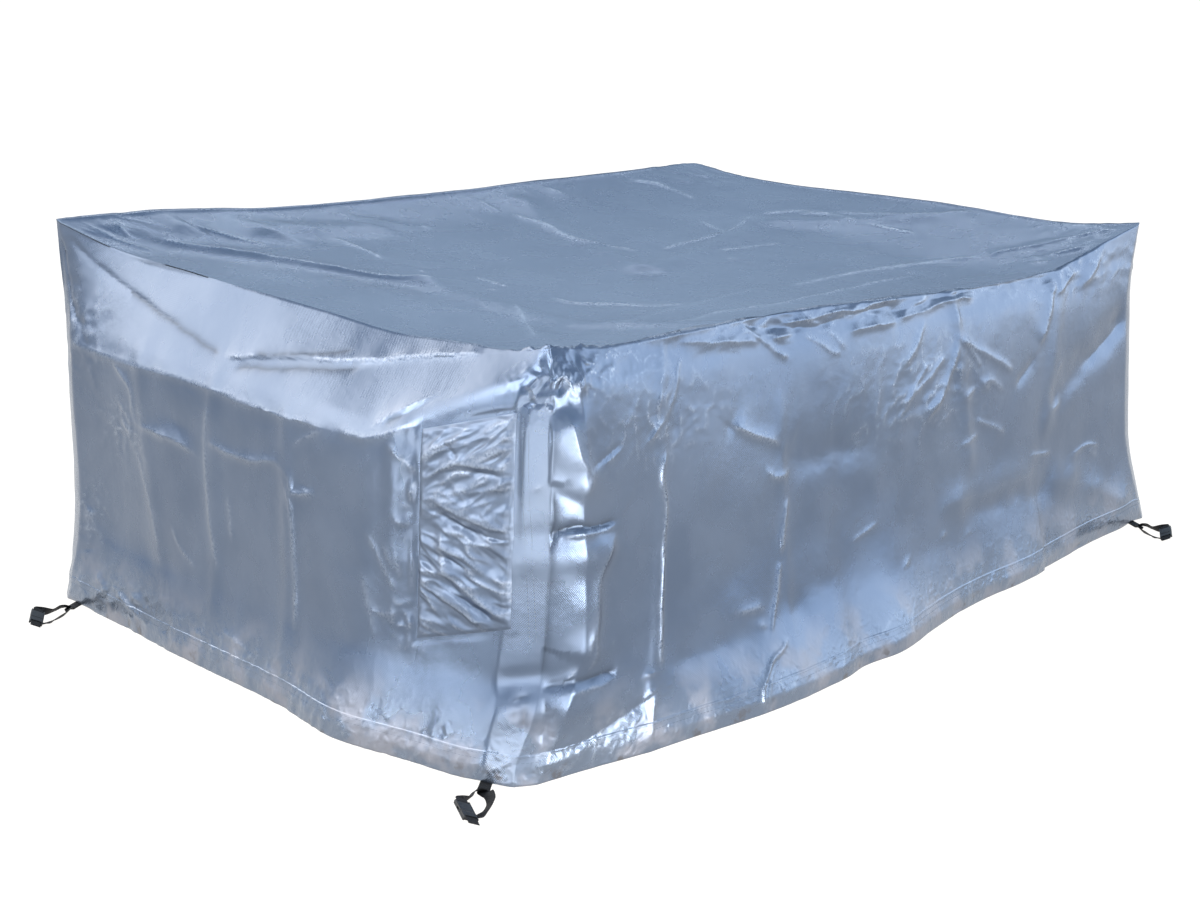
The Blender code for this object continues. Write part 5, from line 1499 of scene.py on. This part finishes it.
def add_straps(web_finish, tack_finish):
    """The webbings of each strap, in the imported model's places, with the tacks that close their wraps."""
    tack_rows = []
    for strap in (dict(zip(STRAP, row)) for row in STRAPS):
        anchor = wall_points(strap["wall"], [strap["along"]], [4.0])[0]
        heading = math.radians(strap["heading_deg"])
        ahead = np.array((math.cos(heading), math.sin(heading), 0))
        sideways = np.array((-math.sin(heading), math.cos(heading), 0)) * strap["side"]

        def place(out, side, z):
            level = (anchor[0], anchor[1], 0) + np.outer(out, ahead) + np.outer(side, sideways)
            return level + np.outer(z, (0, 0, 1))

        paths = {
            "socket": [resting(row) for row in SOCKET_LEG] + socket_wrap(),
            "plug": [resting(row) for row in PLUG_LEG] + plug_wrap(),
        }
        for half, rows in paths.items():
            centre, width, up = web_frame(rows, place)
            name = f"webbing_{half}_{strap['corner']}"
            mesh, length = webbing_mesh(name, centre, width, up)
            piece = linked(name, mesh)
            mesh.materials.append(web_finish)
            join_up(piece, f"strap_{half}_{strap['corner']}")
            if half == "socket":
                tack_rows += tacks(centre, width, up, len(SOCKET_LEG) - 1.9, len(SOCKET_LEG) - 0.9)
    add_thread("strap_stitching", tack_rows, tack_finish)


def repaint_buckles(finish):
    """The solids of the buckles are shown as they are, in a moulded plastic."""
    for name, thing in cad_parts.items():
        if name.startswith("buckle_"):
            for slot in thing.material_slots:
                slot.link = "OBJECT"
                slot.material = finish


# ---- materials -----------------------------------------------------------------------------------------


class Paint:
    """A material's nodes, with short ways to add and join them."""

    def __init__(self, name):
        self.material = bpy.data.materials.new(name)
        self.material.use_nodes = True
        self.tree = self.material.node_tree
        self.shader = self.tree.nodes["Principled BSDF"]

    def node(self, kind, settings=None, **inputs):
        made = self.tree.nodes.new(kind)
        for key, value in (settings or {}).items():
            setattr(made, key, value)
        for key, value in inputs.items():
            self.set(made.inputs[key.replace("_", " ")], value)
        return made

    def set(self, socket, value):
        if isinstance(value, bpy.types.NodeSocket):
            self.tree.links.new(value, socket)
        else:
            socket.default_value = value

    def math(self, operation, *values):
        made = self.tree.nodes.new("ShaderNodeMath")
        made.operation = operation
        for socket, value in zip(made.inputs, values):
            self.set(socket, value)
        return made.outputs[0]

    def mix(self, share, first, second):
        made = self.tree.nodes.new("ShaderNodeMix")
        made.data_type = "RGBA"
        self.set(made.inputs[0], share)
        self.set(made.inputs[6], first)
        self.set(made.inputs[7], second)
        return made.outputs[2]

    def ramp(self, value, low, high):
        """0 to 1 as value goes from low to high, smoothly."""
        settings = {"interpolation_type": "SMOOTHSTEP"}
        made = self.node("ShaderNodeMapRange", settings, From_Min=low, From_Max=high)
        self.set(made.inputs["Value"], value)
        return made.outputs["Result"]

    def attribute(self, name):
        return self.node("ShaderNodeAttribute", {"attribute_name": name})

    def noise(self, place, scale, detail=3.0, kind="FBM"):
        made = self.node("ShaderNodeTexNoise", {"noise_type": kind}, Scale=scale, Detail=detail)
        self.set(made.inputs["Vector"], place)
        return made.outputs[0]

    def scaled(self, place, scale):
        made = self.node("ShaderNodeVectorMath", {"operation": "MULTIPLY"})
        self.set(made.inputs[0], place)
        made.inputs[1].default_value = scale
        return made.outputs[0]

    def bumped(self, height, distance, before=None):
        made = self.node("ShaderNodeBump", Strength=1.0, Distance=distance)
        self.set(made.inputs["Height"], height)
        if before is not None:
            self.set(made.inputs["Normal"], before)
        return made.outputs["Normal"]


# Colours of the coated cloth: its film, a paler share, the painted shade in slits, worn crests that are
# also painted glints, and the hem's paler film, dry soil and darker spots
SILVER = (0.090, 0.120, 0.176, 1)
SILVER_PALE = (0.120, 0.152, 0.210, 1)
SLIT_PAINTED_SHADE = (0.020, 0.026, 0.036, 1)
SILVER_WORN_AND_GLINT = (0.62, 0.67, 0.74, 1)
HEM_SOIL = (0.300, 0.290, 0.310, 1)
HEM_SPOT = (0.120, 0.115, 0.120, 1)
HEM_PALE = (0.270, 0.310, 0.370, 1)
SILVER_METALLIC = 0.86
TAPE = 0.0026
HEM_LINE = 0.062


def silver_cloth(name, crinkle=0.45, pale=0.0, least_rough=0.21):
    """Coated tarpaulin: flat tapes woven plain under a satin film, worn at creases and soiled at the hem,
    with painted glints on its crests and painted shade in its slits.
    """
    paint = Paint(name)
    shader = paint.shader
    place = paint.attribute("cloth_place").outputs["Vector"]
    apart = paint.node("ShaderNodeSeparateXYZ")
    paint.set(apart.inputs[0], place)
    spread, drop, above_hem = apart.outputs[0], apart.outputs[1], apart.outputs[2]
    solid = paint.node("ShaderNodeTexCoord").outputs["Object"]

    slow = paint.noise(solid, 2.4, 4.0)
    cloudy = paint.noise(solid, 9.0, 5.0)
    fine = paint.noise(solid, 160.0, 2.0)
    tone = paint.math("MULTIPLY_ADD", slow, 0.75, paint.math("MULTIPLY", cloudy, 0.35))
    color = paint.mix(paint.ramp(tone, 0.38 - pale, 0.72 - pale), SILVER, SILVER_PALE)
    wear_and_painted_light = paint.attribute("wear_and_painted_light").outputs["Fac"]
    # worn crests lightened towards a pale silver: partly real wear, partly painted glints
    scuffs_and_glints = paint.math("MULTIPLY", paint.math("MAXIMUM", wear_and_painted_light, 0.0), paint.ramp(fine, 0.30, 0.62))
    color = paint.mix(scuffs_and_glints, color, SILVER_WORN_AND_GLINT)
    # painted shade: the slits are darkened towards a near-black
    color = paint.mix(paint.math("MULTIPLY", paint.math("MINIMUM", wear_and_painted_light, 0.0), -1.0), color, SLIT_PAINTED_SHADE)

    near_hem = paint.math("SUBTRACT", 1.0, paint.ramp(above_hem, 0.02, 0.20))
    color = paint.mix(paint.math("MULTIPLY", near_hem, 0.30), color, HEM_PALE)
    blotches = paint.ramp(paint.noise(solid, 11.0, 6.0), 0.46, 0.66)
    soil = paint.math("MULTIPLY", near_hem, blotches)
    color = paint.mix(paint.math("MULTIPLY", soil, 0.55), color, HEM_SOIL)
    very_low = paint.math("SUBTRACT", 1.0, paint.ramp(above_hem, 0.004, 0.050))
    spots = paint.ramp(paint.noise(solid, 23.0, 5.0), 0.58, 0.68)
    color = paint.mix(paint.math("MULTIPLY", paint.math("MULTIPLY", very_low, spots), 0.75), color, HEM_SPOT)
    paint.set(shader.inputs["Base Color"], color)

    shader.inputs["Metallic"].default_value = SILVER_METALLIC
    rough = paint.math("MULTIPLY_ADD", cloudy, 0.12, least_rough)
    rough = paint.math("MULTIPLY_ADD", soil, 0.20, rough)
    rough = paint.math("MULTIPLY_ADD", scuffs_and_glints, 0.10, rough)
    paint.set(shader.inputs["Roughness"], rough)

    across = paint.math("SINE", paint.math("MULTIPLY", spread, math.pi / TAPE))
    down = paint.math("SINE", paint.math("MULTIPLY", drop, math.pi / TAPE))
    weave = paint.math("MULTIPLY", across, down)
    hem_step = paint.math("SUBTRACT", 1.0, paint.ramp(above_hem, HEM_LINE - 0.0015, HEM_LINE + 0.0015))
    crinkles = paint.noise(solid, 34.0, 3.0, "RIDGED_MULTIFRACTAL")
    hem_crinkles = paint.math("MULTIPLY", near_hem, paint.noise(solid, 62.0, 4.0, "RIDGED_MULTIFRACTAL"))
    normal = paint.bumped(weave, 0.00007)
    normal = paint.bumped(crinkles, crinkle * 0.001, normal)
    normal = paint.bumped(hem_crinkles, 0.0016, normal)
    normal = paint.bumped(paint.noise(solid, 90.0, 3.0), 0.0003, normal)
    normal = paint.bumped(hem_step, 0.0009, normal)
    paint.set(shader.inputs["Normal"], normal)
    return paint.material


# Thread: the dark and the light of its twist
GREY_THREAD = ((0.05, 0.07, 0.10, 1), (0.12, 0.15, 0.19, 1))
BLACK_THREAD = ((0.010, 0.011, 0.012, 1), (0.050, 0.052, 0.056, 1))


def thread_finish(name, dark, light):
    """Twisted polyester thread."""
    paint = Paint(name)
    twist = paint.noise(paint.node("ShaderNodeTexCoord").outputs["Object"], 900.0, 2.0)
    paint.set(paint.shader.inputs["Base Color"], paint.mix(twist, dark, light))
    paint.shader.inputs["Roughness"].default_value = 0.7
    return paint.material


RIB = 0.0021
PICK = 0.0013
WEB_DARK = (0.003, 0.003, 0.004, 1)
WEB_LIGHT = (0.012, 0.013, 0.014, 1)
WEB_DUST = (0.050, 0.050, 0.052, 1)


def black_webbing():
    """Flat polypropylene webbing: ribs along it, picks across it, a little dust."""
    paint = Paint("black_webbing")
    shader = paint.shader
    apart = paint.node("ShaderNodeSeparateXYZ")
    paint.set(apart.inputs[0], paint.attribute("cloth_place").outputs["Vector"])
    ribs = paint.math("SINE", paint.math("MULTIPLY", apart.outputs[0], 2 * math.pi / RIB))
    picks = paint.math("SINE", paint.math("MULTIPLY", apart.outputs[1], 2 * math.pi / PICK))
    ribs = paint.math("MULTIPLY_ADD", ribs, 0.5, 0.5)
    weave = paint.math("MULTIPLY", ribs, paint.math("MULTIPLY_ADD", picks, 0.35, 0.65))
    solid = paint.node("ShaderNodeTexCoord").outputs["Object"]
    dust = paint.math("MULTIPLY", paint.ramp(paint.noise(solid, 70.0, 5.0), 0.50, 0.75), 0.18)
    color = paint.mix(weave, WEB_DARK, WEB_LIGHT)
    paint.set(shader.inputs["Base Color"], paint.mix(dust, color, WEB_DUST))
    paint.set(shader.inputs["Roughness"], paint.math("MULTIPLY_ADD", weave, -0.18, 0.72))
    shader.inputs["Specular IOR Level"].default_value = 0.18
    paint.set(shader.inputs["Normal"], paint.bumped(weave, 0.00035))
    return paint.material


PLASTIC_DARK = (0.004, 0.0045, 0.005, 1)
PLASTIC_LIGHT = (0.009, 0.010, 0.011, 1)
PLASTIC_SCUFF = (0.050, 0.052, 0.056, 1)


def moulded_plastic():
    """Black moulded plastic: fine spark-eroded grain, faint scuffs and a slightly uneven gloss."""
    paint = Paint("moulded_plastic")
    shader = paint.shader
    solid = paint.node("ShaderNodeTexCoord").outputs["Object"]
    shader.inputs["Specular IOR Level"].default_value = 0.35
    grain = paint.noise(solid, 1400.0, 2.0)
    scuff = paint.ramp(paint.noise(paint.scaled(solid, (60.0, 240.0, 120.0)), 1.0, 4.0), 0.60, 0.72)
    color = paint.mix(paint.noise(solid, 80.0, 3.0), PLASTIC_DARK, PLASTIC_LIGHT)
    color = paint.mix(paint.math("MULTIPLY", scuff, 0.4), color, PLASTIC_SCUFF)
    paint.set(shader.inputs["Base Color"], color)
    rough = paint.math("MULTIPLY_ADD", paint.noise(solid, 130.0, 3.0), 0.18, 0.32)
    paint.set(shader.inputs["Roughness"], paint.math("MULTIPLY_ADD", scuff, 0.15, rough))
    paint.set(shader.inputs["Normal"], paint.bumped(grain, 0.00005))
    return paint.material


# ---- making the pieces ---------------------------------------------------------------------------------


def net_object(name, points, faces, flat, wear_and_painted_light, normals, finish):
    """A net of quads as an object, with its normals, its place on the flat cloth, and its wear with painted
    glints and painted shade.
    """
    mesh = bpy.data.meshes.new(name)
    mesh.vertices.add(len(points))
    mesh.vertices.foreach_set("co", (points + OWN_ORIGIN).ravel())
    mesh.loops.add(faces.size)
    mesh.loops.foreach_set("vertex_index", faces.ravel())
    mesh.polygons.add(len(faces))
    mesh.polygons.foreach_set("loop_start", np.arange(len(faces)) * 4)
    mesh.update(calc_edges=True)
    mesh.shade_smooth()
    mesh.normals_split_custom_set_from_vertices(normals)
    mesh.attributes.new("cloth_place", "FLOAT_VECTOR", "POINT").data.foreach_set("vector", flat.ravel())
    mesh.attributes.new("wear_and_painted_light", "FLOAT", "POINT").data.foreach_set("value", wear_and_painted_light)
    mesh.materials.append(finish)
    return linked(name, mesh)


def panel_object(sheet, panel, normals, finish):
    """One panel of the sheet, with its turned-in hem, shaded as one cloth with the whole sheet."""
    names = [name for name in (panel, f"{panel}_hem") if name in sheet.grids]
    ids = np.concatenate([sheet.grids[name].ravel() for name in names])
    flats = np.concatenate([sheet.flats[name].reshape(-1, 3) for name in names])
    used, first = np.unique(ids, return_index=True)
    faces = np.searchsorted(used, np.concatenate([sheet.quads(name) for name in names]))
    return net_object(
        f"cover_{panel}", sheet.points[used], faces, flats[first], sheet.wear_and_painted_light[used], normals[used], finish
    )


def join_up(piece, node):
    """The piece rides on the part's one body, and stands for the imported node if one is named."""
    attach(piece, "root")
    if node:
        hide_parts(node)


def main():
    add_camera()
    add_stage()
    sheet = Sheet()
    normals = sheet.normals()
    finish = silver_cloth("silver_cloth")
    for panel in sheet.panels:
        piece = panel_object(sheet, panel, normals, finish)
        join_up(piece, "cover_cloth")

    points, grid, flat, wear_and_painted_light = patch_net(sheet)
    faces = grid_quads(grid)
    patch_finish = silver_cloth("patch_silver", crinkle=0.35, pale=0.12, least_rough=0.36)
    patch = net_object("patch_cloth", points, faces, flat, wear_and_painted_light, normals_of(points, faces), patch_finish)
    join_up(patch, "corner_patch")

    wall_tree = BVHTree.FromPolygons(sheet.points.tolist(), sheet.quads("west").tolist())
    patch_tree = BVHTree.FromPolygons(points.tolist(), faces.tolist())
    rows = [hem_stitches(sheet, wall, up) for wall in WALLS for up in HEM_STITCH_UP]
    for row in (dict(zip(STITCH, row)) for row in STITCHES):
        tree = patch_tree if row["panel"] == "patch" else wall_tree
        rows.append(surface_stitches(tree, row["panel"], row))
    add_thread("stitching", rows, thread_finish("grey_thread", *GREY_THREAD))
    add_straps(black_webbing(), thread_finish("black_thread", *BLACK_THREAD))
    repaint_buckles(moulded_plastic())


main()
